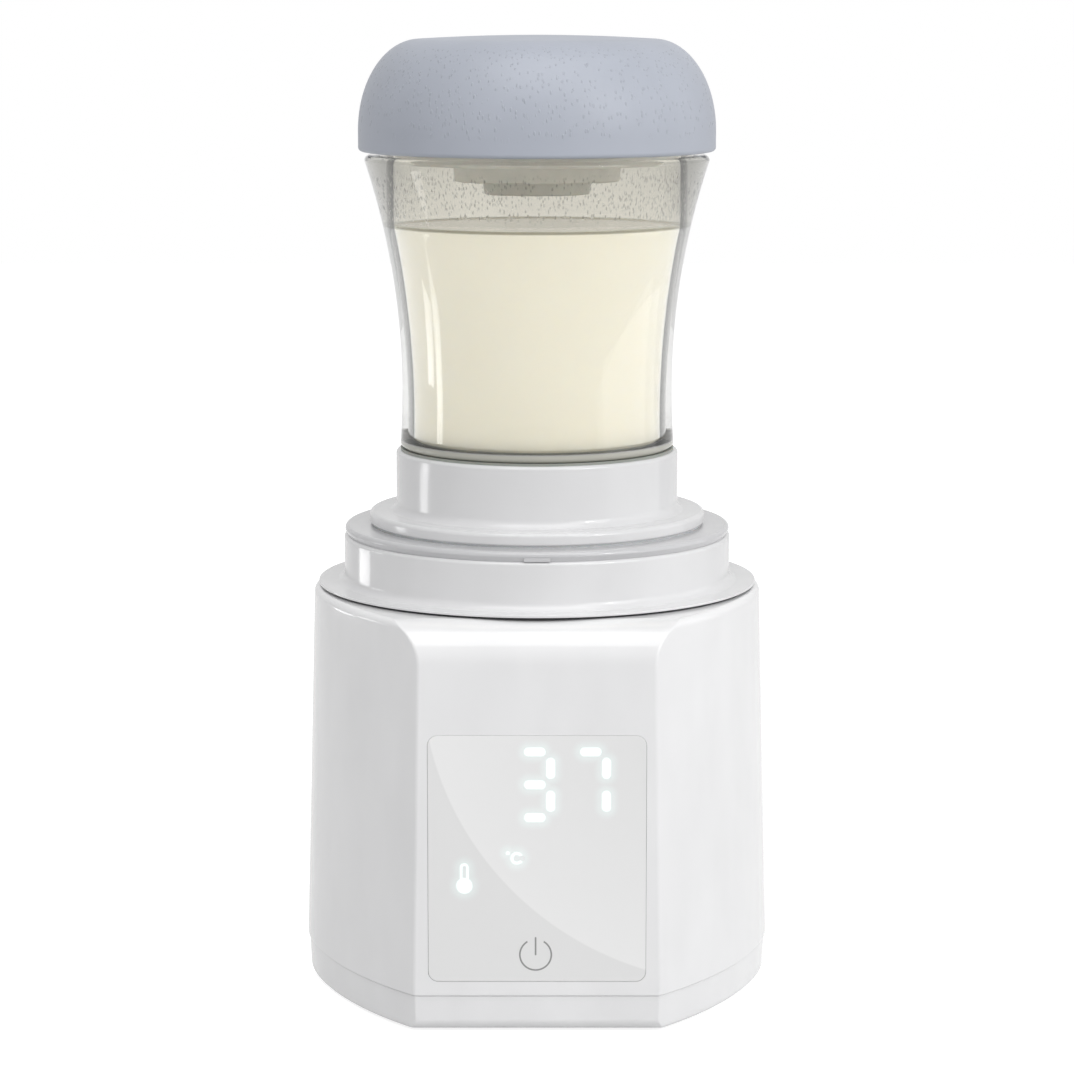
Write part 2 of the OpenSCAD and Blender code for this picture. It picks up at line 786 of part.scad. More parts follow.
module at_display_screws() {
    on_front()
        for (x = [-display_screw_x, display_screw_x]) translate([x, display_screw_y, 0]) children();
}

module display_screws() {
    color("silver")
    at_display_screws() {
        translate([0, 0, -board_back - small_head_h]) cylinder(h = small_head_h, r = small_head_r, $fn = 48);
        translate([0, 0, -board_back - bite])
            cylinder(h = board_back - shell_wall + display_screw_bite - 0.1 + bite, r = small_screw_r, $fn = 48);
    }
}

module touch_electrode() {
    color("peru") {
        pushed_back(lens_t, touch_t) translate([touch_x, touch_y]) circle(touch_r, $fn = 64);
        pushed_back(lens_t, guide_depth) translate([touch_x, touch_y]) circle(touch_post_r, $fn = 48);
    }
}

// Main board and what it carries

usb_half_w = 4.5;
usb_half_h = 1.6;
usb_wall = 0.35;
tongue_half_w = 3.4;
tongue_t = 0.7;
tongue_back = 1.4;
board_foot_gap = 0.2;
board_top_wall = 2;
main_board_z = tab_z + board_foot_gap;
main_board_top = cap_top_z - board_top_wall;

module usb_slot(half_w, half_h, y0, y1) {
    translate([0, y1, usb_z])
        rotate([90, 0, 0])
            linear_extrude(y1 - y0) {
                square([2 * (half_w - half_h), 2 * half_h], center = true);
                for (x = [half_h - half_w, half_w - half_h]) translate([x, 0]) circle(half_h, $fn = 48);
            }
}

module usb_socket() {
    color("silver") {
        difference() {
            usb_slot(usb_half_w, usb_half_h, usb_y, usb_y + usb_length);
            usb_slot(usb_half_w - usb_wall, usb_half_h - usb_wall, usb_y + 1, usb_y + usb_length + 1);
        }
        translate([-tongue_half_w, usb_y + usb_wall, usb_z - tongue_t / 2])
            cube([2 * tongue_half_w, usb_length - tongue_back - usb_wall, tongue_t]);
    }
}

module main_board() {
    color("seagreen")
    translate([-main_board_half_w, main_board_y, main_board_z])
        cube([2 * main_board_half_w, board_t, main_board_top - main_board_z]);
}

// On the inner face of the main board: x, height above the board's foot, width, height, thickness
board_blocks = [
    [-22, 14, 12, 12, 5.5],
    [-5, 12, 10, 10, 1.2],
    [9, 16, 8, 5, 1],
    [10, 34, 12, 12, 5],
    [-22, 32, 9, 6, 1.6]
];
// Round parts: x, height above the board's foot, radius, length
board_cans = [[-6, 32, 3.2, 8], [1.5, 32, 3.2, 8], [21, 18, 2.6, 7]];

module board_parts() {
    color("dimgray") {
        for (b = board_blocks)
            translate([b[0], main_board_y - b[4], main_board_z + b[1]]) cube([b[2], b[4], b[3]]);
        for (c = board_cans)
            translate([c[0], main_board_y, main_board_z + c[1]])
                rotate([90, 0, 0]) cylinder(h = c[3], r = c[2], $fn = 48);
        translate([lead_x[3] - 2, main_board_y - terminal_w, terminal_z - terminal_w])
            cube([lead_x[0] - lead_x[3] + 4, terminal_w, terminal_w]);
    }
}

// Wires and the flat cable, which cross above the cap and turn down to the main board
wire_r = 0.9;
lead_bend = 3;
lead_first_x = -9;
lead_step = 2.5;
lead_x = [for (i = [0 : 3]) lead_first_x - lead_step * i];
lead_z = (cap_top_z + deck_z) / 2;
terminal_w = 8;
terminal_drop = 10;
terminal_z = main_board_top - terminal_drop;
lead_end_y = main_board_y - terminal_w / 2;
heater_lead_y = 14;

// Quarter bend in the upright plane that runs front to back: from level, heading back, to straight down
module bend() {
    rotate([90, 0, 90]) rotate_extrude(angle = 90, $fn = round_fn) translate([lead_bend, 0]) children();
}

// A wire from height start_z at y, which ends in the terminal block
module lead(x, y, start_z) {
    up = start_z > lead_z;
    turn_z = up ? lead_z + lead_bend : lead_z - lead_bend;
    translate([x, y, min(start_z, turn_z)]) cylinder(h = abs(start_z - turn_z), r = wire_r, $fn = 48);
    translate([x, y + lead_bend, turn_z])
        mirror([0, 1, 0]) mirror([0, 0, up ? 1 : 0]) bend() circle(wire_r, $fn = 48);
    translate([x, y + lead_bend, lead_z])
        rotate([-90, 0, 0]) cylinder(h = lead_end_y - y - 2 * lead_bend, r = wire_r, $fn = 48);
    translate([x, lead_end_y - lead_bend, lead_z - lead_bend]) bend() circle(wire_r, $fn = 48);
    translate([x, lead_end_y, terminal_z]) cylinder(h = lead_z - lead_bend - terminal_z, r = wire_r, $fn = 48);
}

module heater_leads() {
    color("firebrick") {
        lead(lead_x[0], heater_lead_y, element_z);
        lead(lead_x[1], heater_lead_y, element_z);
    }
}

module battery_leads() {
    color("black") {
        lead(lead_x[2], cell_place, cap_floor_z);
        lead(lead_x[3], -cell_place, cap_floor_z);
    }
}

cable_x = 6;
cable_w = 10;
cable_t = 0.4;
plug_t = 2.4;
plug_h = 5;
cable_front_y = board_back + plug_t / 2 + sin(lean_deg) * (board_top - plug_h) - body_half_d;
cable_back_y = main_board_y - plug_t / 2;
cable_end_z = main_board_top - 6;

module display_cable() {
    turn_z = lead_z - lead_bend;
    color("gainsboro") {
        on_front() translate([cable_x - 1, board_top - plug_h - 1, -board_back - plug_t])
            cube([cable_w + 2, plug_h, plug_t]);
        translate([cable_x, cable_front_y - cable_t / 2, seam_z + board_top - plug_h])
            cube([cable_w, cable_t, turn_z - seam_z - board_top + plug_h]);
        translate([cable_x, cable_front_y + lead_bend, turn_z])
            mirror([0, 1, 0]) bend() translate([-cable_t / 2, 0]) square([cable_t, cable_w]);
        translate([cable_x, cable_front_y + lead_bend, lead_z - cable_t / 2])
            cube([cable_w, cable_back_y - cable_front_y - 2 * lead_bend, cable_t]);
        translate([cable_x, cable_back_y - lead_bend, turn_z])
            bend() translate([-cable_t / 2, 0]) square([cable_t, cable_w]);
        translate([cable_x, cable_back_y - cable_t / 2, cable_end_z - 1])
            cube([cable_w, cable_t, turn_z - cable_end_z + 1]);
        translate([cable_x - 1, main_board_y - plug_t, cable_end_z - plug_h]) cube([cable_w + 2, plug_t, plug_h]);
    }
}

// Battery pack

rail_x = main_board_half_w - 4.5;
rail_w = 6;
rail_y = main_board_y - 2.6;
rail_end_y = main_board_y + board_t + 2.2;
rail_h = 8;
pack_bolt_r = 1.5;
tab_w = 8;
end_tab_l = 14;
post_r = 2.2;
post_place = pack_half_w - post_r - 0.2;

module at_cells() {
    for (x = [-cell_place, cell_place], y = [-cell_place, cell_place]) translate([x, y, 0]) children();
}

module pack_block(z0, z1) {
    translate([-pack_half_w, -pack_half_w, z0]) cube([2 * pack_half_w, 2 * pack_half_w, z1 - z0]);
}

// The slots that hold the main board's side edges
module board_slots(z0, z1) {
    translate([-main_board_half_w - seat_gap, main_board_y - seat_gap, z0])
        cube([2 * (main_board_half_w + seat_gap), board_t + 2 * seat_gap, z1 - z0]);
}

module lower_strips(grow) {
    reach = cell_place + tab_w / 2 + grow;
    for (y = [-cell_place, cell_place])
        translate([-reach, y - tab_w / 2 - grow, tab_z]) cube([2 * reach, tab_w + 2 * grow, tab_t + grow]);
}

module upper_strips(grow) {
    reach = cell_place + tab_w / 2 + grow;
    translate([cell_place - tab_w / 2 - grow, -reach, cell_top_z - grow])
        cube([tab_w + 2 * grow, 2 * reach, tab_t + grow]);
    for (y = [-cell_place, cell_place])
        translate([-cell_place - end_tab_l / 2 - 1 - grow, y - tab_w / 2 - grow, cell_top_z - grow])
            cube([end_tab_l + 2 * grow, tab_w + 2 * grow, tab_t + grow]);
}

module battery_tray() {
    color("darkslategray")
    difference() {
        union() {
            pack_block(cover_z + cover_floor_t, cell_z + pocket_depth);
            translate([-rail_x - rail_w, 0, cover_z + cover_floor_t])
                cube([2 * (rail_x + rail_w), rail_end_y, tray_floor_t]);
            for (x = [-rail_x - rail_w, rail_x])
                translate([x, rail_y, tab_z - bite]) cube([rail_w, rail_end_y - rail_y, rail_h + bite]);
        }
        at_cells() disc(cell_r + seat_gap, cell_z, cell_z + pocket_depth + 1);
        lower_strips(seat_gap);
        board_slots(tab_z, tab_z + rail_h + 1);
        disc(pack_bolt_r + seat_gap / 2, tab_z - tray_floor_t / 2, cell_z + pocket_depth + 1);
    }
}

module battery_cap() {
    color("darkslategray")
    difference() {
        union() {
            pack_block(cell_top_z - pocket_depth, cap_top_z);
            for (x = [-rail_x - rail_w, rail_x])
                translate([x, 0, cap_top_z - rail_h]) cube([rail_w, rail_end_y, rail_h]);
            for (p = [[post_place, 0], [-post_place, 0], [0, 18], [0, -18]])
                translate(p) disc(post_r, cap_top_z - bite, deck_z - seat_gap);
        }
        at_cells() disc(cell_r + seat_gap, cell_top_z - pocket_depth - 1, cell_top_z);
        upper_strips(seat_gap);
        board_slots(cap_top_z - rail_h - 1, main_board_top + seat_gap);
        disc(pack_bolt_r + seat_gap, cell_top_z - pocket_depth - 1, cap_top_z + 1);
        for (p = [[lead_x[2], cell_place], [lead_x[3], -cell_place]])
            translate(p) disc(wire_r + 3 * seat_gap, cell_top_z, cap_top_z + 1);
    }
}

module battery_cells() {
    color("steelblue") at_cells() disc(cell_r, cell_z, cell_top_z);
}

module cell_tabs() {
    color("silver") {
        lower_strips(0);
        upper_strips(0);
    }
}

module pack_bolt() {
    color("silver") {
        disc(pack_bolt_r, tab_z - tray_floor_t / 2 + 0.2, cap_top_z + bite);
        disc(2 * pack_bolt_r, cap_top_z, cap_top_z + 1.8);
    }
}

// Collar

module collar() {
    edge = 0.8;
    flange_up_z = collar_z + collar_flange_t;
    color("whitesmoke")
    difference() {
        union() {
            turned(concat(
                [[collar_bore_r, ceiling_z], [collar_spigot_r, ceiling_z], [collar_spigot_r, collar_z]],
                [[collar_flange_r, collar_z], [collar_flange_r, flange_up_z]],
                arc(collar_r + collar_fillet_r, flange_up_z + collar_fillet_r, collar_fillet_r, 270, 180, 6),
                arc(collar_r - edge, collar_top_z - edge, edge, 0, 90, 5),
                [[collar_bore_r, collar_top_z]]
            ));
            thread(collar_bore_r, -1, adapter_lead, adapter_starts, adapter_thread_z, adapter_span);
        }
        at_collar_screws() disc(small_screw_r + seat_gap / 2, ceiling_z - 1, collar_screw_top_z + 0.3);
    }
}

module collar_gasket() {
    color("black") ring(collar_flange_r - gasket_inset, collar_spigot_r + 0.8, body_top_z, collar_z);
}

module collar_screws() {
    color("silver")
    at_collar_screws() {
        disc(small_head_r, deck_z - small_head_h, deck_z);
        disc(small_screw_r, deck_z - bite, collar_screw_top_z);
    }
}

// Heater

tower_r = plate_r + 0.2;
spigot_r = plate_r - plate_t - 0.3;
plate_low_z = plate_top_z - plate_skirt_h;
shoulder_seal_t = 0.3;
tower_shoulder_z = plate_low_z - shoulder_seal_t;
tower_top_z = tower_shoulder_z + 2;
shelf_t = 2.4;
tower_neck_z = ceiling_z + tower_base_h;
element_t = 0.5;
element_z = plate_top_z - plate_t - element_t;
sensor_r = 2;

module heater_tower() {
    slope = tower_base_r - tower_r;
    color("lightgray")
    difference() {
        turned([
            [tower_base_r - tower_wall, deck_z],
            [deck_r, deck_z],
            [deck_r, ceiling_z],
            [tower_base_r, ceiling_z],
            [tower_base_r, tower_neck_z],
            [tower_r, tower_neck_z + slope],
            [tower_r, tower_shoulder_z],
            [spigot_r, tower_shoulder_z],
            [spigot_r, tower_top_z],
            [0, tower_top_z],
            [0, tower_top_z - shelf_t],
            [spigot_r - tower_wall, tower_top_z - shelf_t],
            [spigot_r - tower_wall, tower_neck_z],
            [tower_base_r - tower_wall, tower_neck_z - slope]
        ]);
        at_collar_screws() disc(small_screw_r + 2 * seat_gap, deck_z - 1, ceiling_z + 1);
        disc(sensor_r + seat_gap, tower_top_z - shelf_t - 1, tower_top_z + 1);
        at_heater_leads() disc(wire_r + 3 * seat_gap, tower_top_z - shelf_t - 1, tower_top_z + 1);
    }
}

module at_heater_leads() {
    for (i = [0, 1]) translate([lead_x[i], heater_lead_y, 0]) children();
}

module heating_plate() {
    edge = 1;
    in_edge = 0.4;
    color("silver")
    turned(concat(
        [[plate_r - plate_t, plate_low_z], [plate_r, plate_low_z]],
        arc(plate_r - edge, plate_top_z - edge, edge, 0, 90, 5),
        [[0, plate_top_z], [0, plate_top_z - plate_t], [plate_r - plate_t - in_edge, plate_top_z - plate_t]],
        [[plate_r - plate_t, plate_top_z - plate_t - in_edge]]
    ));
}

module plate_seal() {
    color("black") ring(tower_r, spigot_r + 0.2, tower_shoulder_z, plate_low_z);
}

module heater_element() {
    color("peru") ring(spigot_r - 0.6, sensor_r + 1, element_z, element_z + element_t);
}

module insulation_pad() {
    color("tan")
    difference() {
        ring(spigot_r - 0.8, sensor_r + 1, tower_top_z, element_z);
        at_heater_leads() disc(wire_r + 3 * seat_gap, tower_top_z - 1, element_z + 1);
    }
}

module temperature_sensor() {
    color("black") {
        disc(sensor_r, tower_top_z - shelf_t - bite, plate_top_z - plate_t);
        disc(sensor_r + 1.2, tower_top_z - shelf_t - 1, tower_top_z - shelf_t);
    }
}

module thermal_fuse() {
    color("gray")
    translate([-4.5, -10, tower_top_z - shelf_t - 1.7]) rotate([0, 90, 0]) cylinder(h = 9, r = 1.6, $fn = 48);
}

// Adapters

seal_groove_r = collar_bore_r + 0.4;
seal_groove_end_r = collar_r - 0.5;
seal_side_gap = 0.3;
index_proud = 0.15;
index_lift = 0.1;
index_deep = 0.4;

module outer_adapter() {
    edge = disc_t / 2;
    color("gainsboro") {
        turned(concat(
            [[outer_bore_r, outer_skirt_z], [outer_skirt_r, outer_skirt_z], [outer_skirt_r, collar_top_z]],
            [[seal_groove_r, collar_top_z], [seal_groove_r, collar_top_z + seal_t]],
            [[seal_groove_end_r, collar_top_z + seal_t], [seal_groove_end_r, collar_top_z]],
            [[disc_r - edge / 2, collar_top_z], [disc_r, collar_top_z + edge / 2]],
            arc(disc_r - edge, disc_top_z - edge, edge, 0, 90, 5),
            [[outer_bore_r, disc_top_z]]
        ));
        thread(outer_skirt_r, 1, adapter_lead, adapter_starts, adapter_thread_z, adapter_span);
        thread(outer_bore_r, -1, adapter_lead, adapter_starts, inner_thread_z, adapter_span);
        translate([-index_w / 2, -disc_r - index_proud, collar_top_z + index_lift]) cube([index_w, index_deep, index_h]);
    }
}

module outer_adapter_seal() {
    color("gray")
    ring(seal_groove_end_r - seal_side_gap, seal_groove_r + seal_side_gap, collar_top_z, collar_top_z + seal_t);
}

module inner_adapter() {
    edge = 0.9;
    top_edge = 0.8;
    fillet = 2;
    step_z = flange_z + 0.8;
    color("white") {
        turned(concat(
            [[inner_skirt_bore_r, inner_skirt_z], [inner_skirt_r, inner_skirt_z], [inner_skirt_r, flange_z]],
            arc(flange_r - edge, flange_z + edge, edge, 270, 360, 4),
            arc(flange_r - edge, flange_top_z - edge, edge, 0, 90, 4),
            arc(neck_r + fillet, flange_top_z + fillet, fillet, 270, 180, 6),
            arc(neck_r - top_edge, neck_top_z - top_edge, top_edge, 0, 90, 4),
            [[neck_bore_r, neck_top_z], [neck_bore_r, step_z], [inner_skirt_bore_r, step_z]]
        ));
        thread(inner_skirt_r, 1, adapter_lead, adapter_starts, inner_thread_z, adapter_span);
        thread(neck_bore_r, -1, foot_lead, foot_starts, foot_thread_z, foot_span);
    }
}

module inner_adapter_seal() {
    color("gray") ring(flange_r - 0.6, outer_bore_r + 0.2, disc_top_z, flange_z);
}

// Container

module container() {
    base_edge = 0.8;
    corner = 1;
    lip_low_z = lip_z - lip_r;
    lip_x = vessel_out(lip_low_z) - lip_r;
    foot_in_r = vessel_foot_r - foot_wall;
    under_z = vessel_floor_z - vessel_floor_t;
    base_r = vessel_out(shoulder_z);
    floor_r = vessel_in(vessel_floor_z);
    outer_z = [for (i = [1 : 14]) shoulder_z + base_edge + (lip_low_z - shoulder_z - base_edge) * i / 14];
    inner_z = [for (i = [0 : 12]) vessel_floor_z + corner + (mouth_in_z - vessel_floor_z - corner) * (1 - i / 12)];
    color("lightcyan") {
        turned(concat(
            [[foot_in_r, vessel_foot_z], [vessel_foot_r, vessel_foot_z], [vessel_foot_r, shoulder_z]],
            arc(base_r - base_edge, shoulder_z + base_edge, base_edge, 270, 360, 4),
            [for (z = outer_z) [vessel_out(z), z]],
            [for (p = arc(lip_x, lip_low_z, lip_r, 0, 90, 5)) if (p[1] > lip_low_z) p],
            [[mouth_out_r, lip_z], [mouth_out_r, rim_z - 0.5], [mouth_out_r - 0.5, rim_z]],
            [[mouth_r + 0.4, rim_z], [mouth_r, rim_z - 0.4]],
            [for (z = inner_z) [vessel_in(z), z]],
            [for (p = arc(floor_r - corner, vessel_floor_z + corner, corner, 360, 270, 4))
                if (p[1] < vessel_floor_z + corner) p],
            [[0, vessel_floor_z], [0, under_z], [foot_in_r, under_z]]
        ));
        thread(vessel_foot_r, 1, foot_lead, foot_starts, foot_thread_z, foot_span);
        thread(mouth_out_r, 1, lid_lead, lid_starts, mouth_thread_z, lid_span);
    }
}

module container_foot_ring() {
    color("silver") ring(neck_r - 1, vessel_foot_r + 0.3, neck_top_z, shoulder_z);
}

// Lid and stopper

module stopper() {
    wall_r = mouth_r - 0.35;
    rim_r = mouth_out_r - 0.2;
    foot_z = rim_z - stopper_depth;
    one_z = foot_z - step_one_drop;
    two_z = one_z - step_two_drop;
    t = stopper_wall;
    edge = 0.6;
    color("gray")
    turned([
        [0, two_z], [step_two_r, two_z], [step_two_r + 0.4, one_z], [step_one_r, one_z],
        [step_one_r + 0.4, foot_z], [wall_r - edge, foot_z], [wall_r, foot_z + edge],
        [wall_r, stopper_rim_z], [rim_r, stopper_rim_z], [rim_r, stopper_top_z],
        [wall_r - t, stopper_top_z], [wall_r - t, foot_z + t], [step_one_r + 0.4 - t, foot_z + t],
        [step_one_r - t, one_z + t], [step_two_r + 0.4 - t, one_z + t], [step_two_r - t, two_z + t], [0, two_z + t]
    ]);
}

module stopper_gasket() {
    color("gray") ring(mouth_out_r - 0.2, mouth_r + 0.05, rim_z, stopper_rim_z);
}

module lid() {
    edge = 0.8;
    dome_r = lid_r - lid_top_r;
    dome_z = lid_z + dome_up;
    dome_h = lid_top_z - lid_crown - dome_z;
    in_r = dome_r - lid_wall;
    in_h = dome_h - lid_wall;
    crown_r = (lid_top_r * lid_top_r + lid_crown * lid_crown) / (2 * lid_crown);
    bore_top_z = rim_z + 3;
    press_r = mouth_out_r - 0.6;
    press_in_r = press_r - 1.6;
    in_dome = [
        for (a = [0 : 90 / 24 : 90])
            if (dome_z + in_h * sin(a) > bore_top_z) [lid_top_r + in_r * cos(a), dome_z + in_h * sin(a)]
    ];
    last = len(in_dome) - 1;
    color("lightslategray") {
        turned(concat(
            [[lid_bore_r, lid_z], [lid_r - edge, lid_z], [lid_r, lid_z + edge]],
            ellipse_arc(lid_top_r, dome_z, dome_r, dome_h, 0, 86, 15),
            arc(0, lid_top_z - crown_r, crown_r, 90 - asin(lid_top_r / crown_r), 90, 5),
            [[0, dome_z + in_h]],
            [for (i = [last : -1 : 0]) in_dome[i]],
            [[in_dome[0][0], bore_top_z], [lid_bore_r, bore_top_z]]
        ));
        ring(press_r, press_in_r, stopper_top_z, dome_z + in_h * sqrt(1 - pow((press_in_r - lid_top_r) / in_r, 2)) + bite);
        thread(lid_bore_r, -1, lid_lead, lid_starts, mouth_thread_z, lid_span);
    }
}

body_shell();
base_cover();
rubber_feet();
base_screws();
display_lens();
display_digits();
display_icons();
light_guide();
display_board();
display_leds();
display_screws();
touch_electrode();
main_board();
board_parts();
usb_socket();
display_cable();
heater_leads();
battery_leads();
battery_tray();
battery_cap();
battery_cells();
cell_tabs();
pack_bolt();
collar();
collar_gasket();
collar_screws();
heater_tower();
heating_plate();
plate_seal();
heater_element();
insulation_pad();
temperature_sensor();
thermal_fuse();
outer_adapter();
outer_adapter_seal();
inner_adapter();
inner_adapter_seal();
container();
container_foot_ring();
stopper();
stopper_gasket();
lid();
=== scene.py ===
from math import asin, atan2, cos, degrees, hypot, pi, radians, sin, sqrt, tan, tau

import bmesh
import bpy
from bpy.props import FloatProperty, FloatVectorProperty, PointerProperty
from mathutils import Matrix, Vector


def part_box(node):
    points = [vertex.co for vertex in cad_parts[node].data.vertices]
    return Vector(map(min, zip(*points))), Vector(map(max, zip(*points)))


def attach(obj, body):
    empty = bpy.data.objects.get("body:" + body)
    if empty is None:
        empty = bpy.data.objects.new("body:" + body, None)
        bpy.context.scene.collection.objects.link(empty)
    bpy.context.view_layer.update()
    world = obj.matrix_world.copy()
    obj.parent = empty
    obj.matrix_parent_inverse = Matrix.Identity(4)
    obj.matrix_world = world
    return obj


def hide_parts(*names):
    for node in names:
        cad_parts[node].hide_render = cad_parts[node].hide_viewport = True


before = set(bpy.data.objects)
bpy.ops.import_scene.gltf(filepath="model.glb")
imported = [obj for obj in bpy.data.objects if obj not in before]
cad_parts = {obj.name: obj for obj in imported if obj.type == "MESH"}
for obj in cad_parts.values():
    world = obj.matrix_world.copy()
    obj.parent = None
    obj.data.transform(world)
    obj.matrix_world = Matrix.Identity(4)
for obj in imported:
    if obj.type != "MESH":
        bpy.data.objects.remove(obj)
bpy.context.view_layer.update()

bl_info = {
    "name": "Portable bottle warmer",
    "version": (1, 0, 0),
    "blender": (4, 5, 0),
    "location": "View3D > Sidebar > Bottle warmer",
    "description": "Builds the warmer's visible pieces and their finishes on the CAD frame",
    "category": "Object",
}

MM = 0.001

# The seam between the shell and its base cover, and how high the shell rises above it, in millimetres
SEAM = 8.4
BODY_H = 79.1


def rgba(colour):
    """Linear red, green, blue and alpha of an sRGB hex code, or of a colour that is linear already."""
    if not isinstance(colour, str):
        return [*colour[:3], 1.0]
    parts = [int(colour[i:i + 2], 16) / 255 for i in (0, 2, 4)]
    return [c / 12.92 if c <= 0.04045 else ((c + 0.055) / 1.055) ** 2.4 for c in parts] + [1.0]


def size(name, millimetres):
    return FloatProperty(name=name, default=millimetres * MM, min=0, unit="LENGTH", precision=5)


def tint(name, hex_code):
    return FloatVectorProperty(name=name, default=rgba(hex_code)[:3], subtype="COLOR", size=3, min=0, max=1)


class BodySizes(bpy.types.PropertyGroup):
    half_w: size("Half width of the body at the seam", 51.6)
    half_d: size("Half depth of the body at the seam", 54.9)
    front_w: size("Half width of the flat front at the seam", 25.9)
    seam: size("Height of the seam between the shell and the base cover", SEAM)
    top: size("Height of the shell's flat top", SEAM + BODY_H)
    shoulder: size("Radius of the shoulder over the flat front and back", 8.6)
    top_edge: size("Radius of the top edge on the sides", 1.5)
    crease: size("Radius of the upright creases", 1.2)
    wall: size("Thickness of the shell's wall", 2.2)


class DisplaySizes(bpy.types.PropertyGroup):
    half_w: size("Half width of the display panel", 22.87)
    low: size("Height of the panel's lower edge above the seam", 3.13)
    height: size("Height of the display panel", 52.74)
    thickness: size("Thickness of the display panel", 1.5)
    glow: FloatProperty(name="Strength of the lit digits and signs", default=1.0, min=0)


class VesselSizes(bpy.types.PropertyGroup):
    milk_top: size("Height of the milk above the surface that the warmer stands on", 167.3)


class Finishes(bpy.types.PropertyGroup):
    shell: tint("Colour of the moulded white shell", "F2F2F3")
    panel: tint("Colour of the display panel", "EAEAEA")
    lid: tint("Colour of the lid", "B0B5C0")
    stopper: tint("Colour of the stopper", "CFCFCC")
    milk: tint("Colour of the milk", "DDD8C7")


def sizes_of(group):
    """A property group's lengths in millimetres, by name."""
    return {name: getattr(group, name) / MM for name in group.__annotations__}


# Colour and node helpers

def feed(node, **sources):
    """Links or sets a node's sockets, each named for the socket, or for its place, such as i1."""
    for name, source in sources.items():
        socket = node.inputs[int(name[1:]) if name[1:].isdigit() else name.replace("_", " ")]
        if isinstance(source, bpy.types.NodeSocket):
            node.id_data.links.new(source, socket)
        else:
            socket.default_value = source


def add(tree, kind, settings=None, out=0, **links):
    """Adds a node with its settings and links, and returns one of its outputs. A kind may name its operation,
    such as Math.ADD."""
    kind, _, operation = kind.partition(".")
    node = tree.nodes.new("ShaderNode" + kind)
    if operation:
        node.operation = operation
    for name, value in (settings or {}).items():
        if hasattr(node, name):
            setattr(node, name, value)
        else:
            node.inputs[name].default_value = value
    feed(node, **links)
    return node.outputs[out]


def finish_of(name, colour, **sockets):
    """A Principled material; returns the material, its tree and its shader node."""
    material = bpy.data.materials.new(name)
    material.use_nodes = True
    shader = material.node_tree.nodes["Principled BSDF"]
    feed(shader, Base_Color=rgba(colour), **sockets)
    return material, material.node_tree, shader


def in_mm(tree, cell=(1, 1, 1), where=(0, 0, 0)):
    """Object coordinates measured in cells of that many millimetres, with their origin moved."""
    return add(tree, "Mapping", {"Scale": [1 / (c * MM) for c in cell], "Location": where},
               Vector=add(tree, "TexCoord", out="Object"))


# Settings that many nodes share: a smooth step, the middle span of a noise, and a mix of colours
SMOOTH = {"interpolation_type": "SMOOTHSTEP"}
MIDDLE = {"From Min": 0.3, "From Max": 0.7}
COLOURS = {"data_type": "RGBA"}


def mottle(tree, shader, pattern, shade, colour, rough, swing):
    """Carries a pattern into the base colour, between two colours, and into the roughness."""
    share = add(tree, "MapRange", MIDDLE, Value=pattern)
    tone = add(tree, "Mix", COLOURS, 2, i0=share, i6=rgba(shade), i7=rgba(colour))
    worn = add(tree, "MapRange", {**MIDDLE, "To Min": rough - swing, "To Max": rough + swing}, Value=pattern)
    feed(shader, Base_Color=tone, Roughness=worn)


def emboss(tree, shader, pattern, height_mm, strength, **under):
    """The relief of a pattern that high, over any coarser relief under it."""
    bump = add(tree, "Bump", {"Strength": strength, "Distance": height_mm * MM}, Height=pattern, **under)
    feed(shader, Normal=bump)


def skin(tree, shader, grain_mm, height_mm, strength, **under):
    """The skin of a moulded or ground surface: a grain of that size and height, over any coarser relief."""
    grain = add(tree, "TexNoise", {"Scale": 1 / grain_mm, "Detail": 3}, Vector=in_mm(tree))
    emboss(tree, shader, grain, height_mm, strength, **under)


def darker(colour, share):
    return [c * share for c in rgba(colour)[:3]]


# Finishes, each named for the real material and how it was made

def polished_abs(name, colour, shade=0.95, rough=0.14):
    """Injection-moulded ABS from a polished tool: a bright soft gloss, with the slightest flow marks."""
    material, tree, shader = finish_of(name, colour, IOR=1.53, Coat_Weight=0.3, Coat_Roughness=0.04)
    flow = add(tree, "TexNoise", {"Scale": 1.0, "Detail": 2}, Vector=in_mm(tree, (14, 14, 30)))
    mottle(tree, shader, flow, darker(colour, shade), colour, rough, 0.03)
    skin(tree, shader, 1.6, 0.004, 0.2)
    return material


def satin_plastic(name, colour, rough=0.42, grain_mm=0.5):
    """Moulded plastic from a spark-eroded tool: an even satin skin, its grain drawn coarse enough to show."""
    material, tree, shader = finish_of(name, colour, IOR=1.5)
    cloud = add(tree, "TexNoise", {"Scale": 1 / 9, "Detail": 2}, Vector=in_mm(tree))
    mottle(tree, shader, cloud, darker(colour, 0.9), colour, rough, 0.05)
    skin(tree, shader, grain_mm, 0.02, 0.35)
    return material


def silicone(name, colour, rough=0.5):
    """Moulded silicone rubber: matt, with a milky softness at its edges and a trace of dusting powder."""
    material, tree, shader = finish_of(
        name, colour, IOR=1.41, Sheen_Weight=0.12, Subsurface_Weight=0.12, Subsurface_Scale=0.0012)
    dust = add(tree, "TexNoise", {"Scale": 1 / 4, "Detail": 4}, Vector=in_mm(tree))
    mottle(tree, shader, dust, darker(colour, 0.88), colour, rough, 0.07)
    skin(tree, shader, 0.4, 0.015, 0.3)
    return material


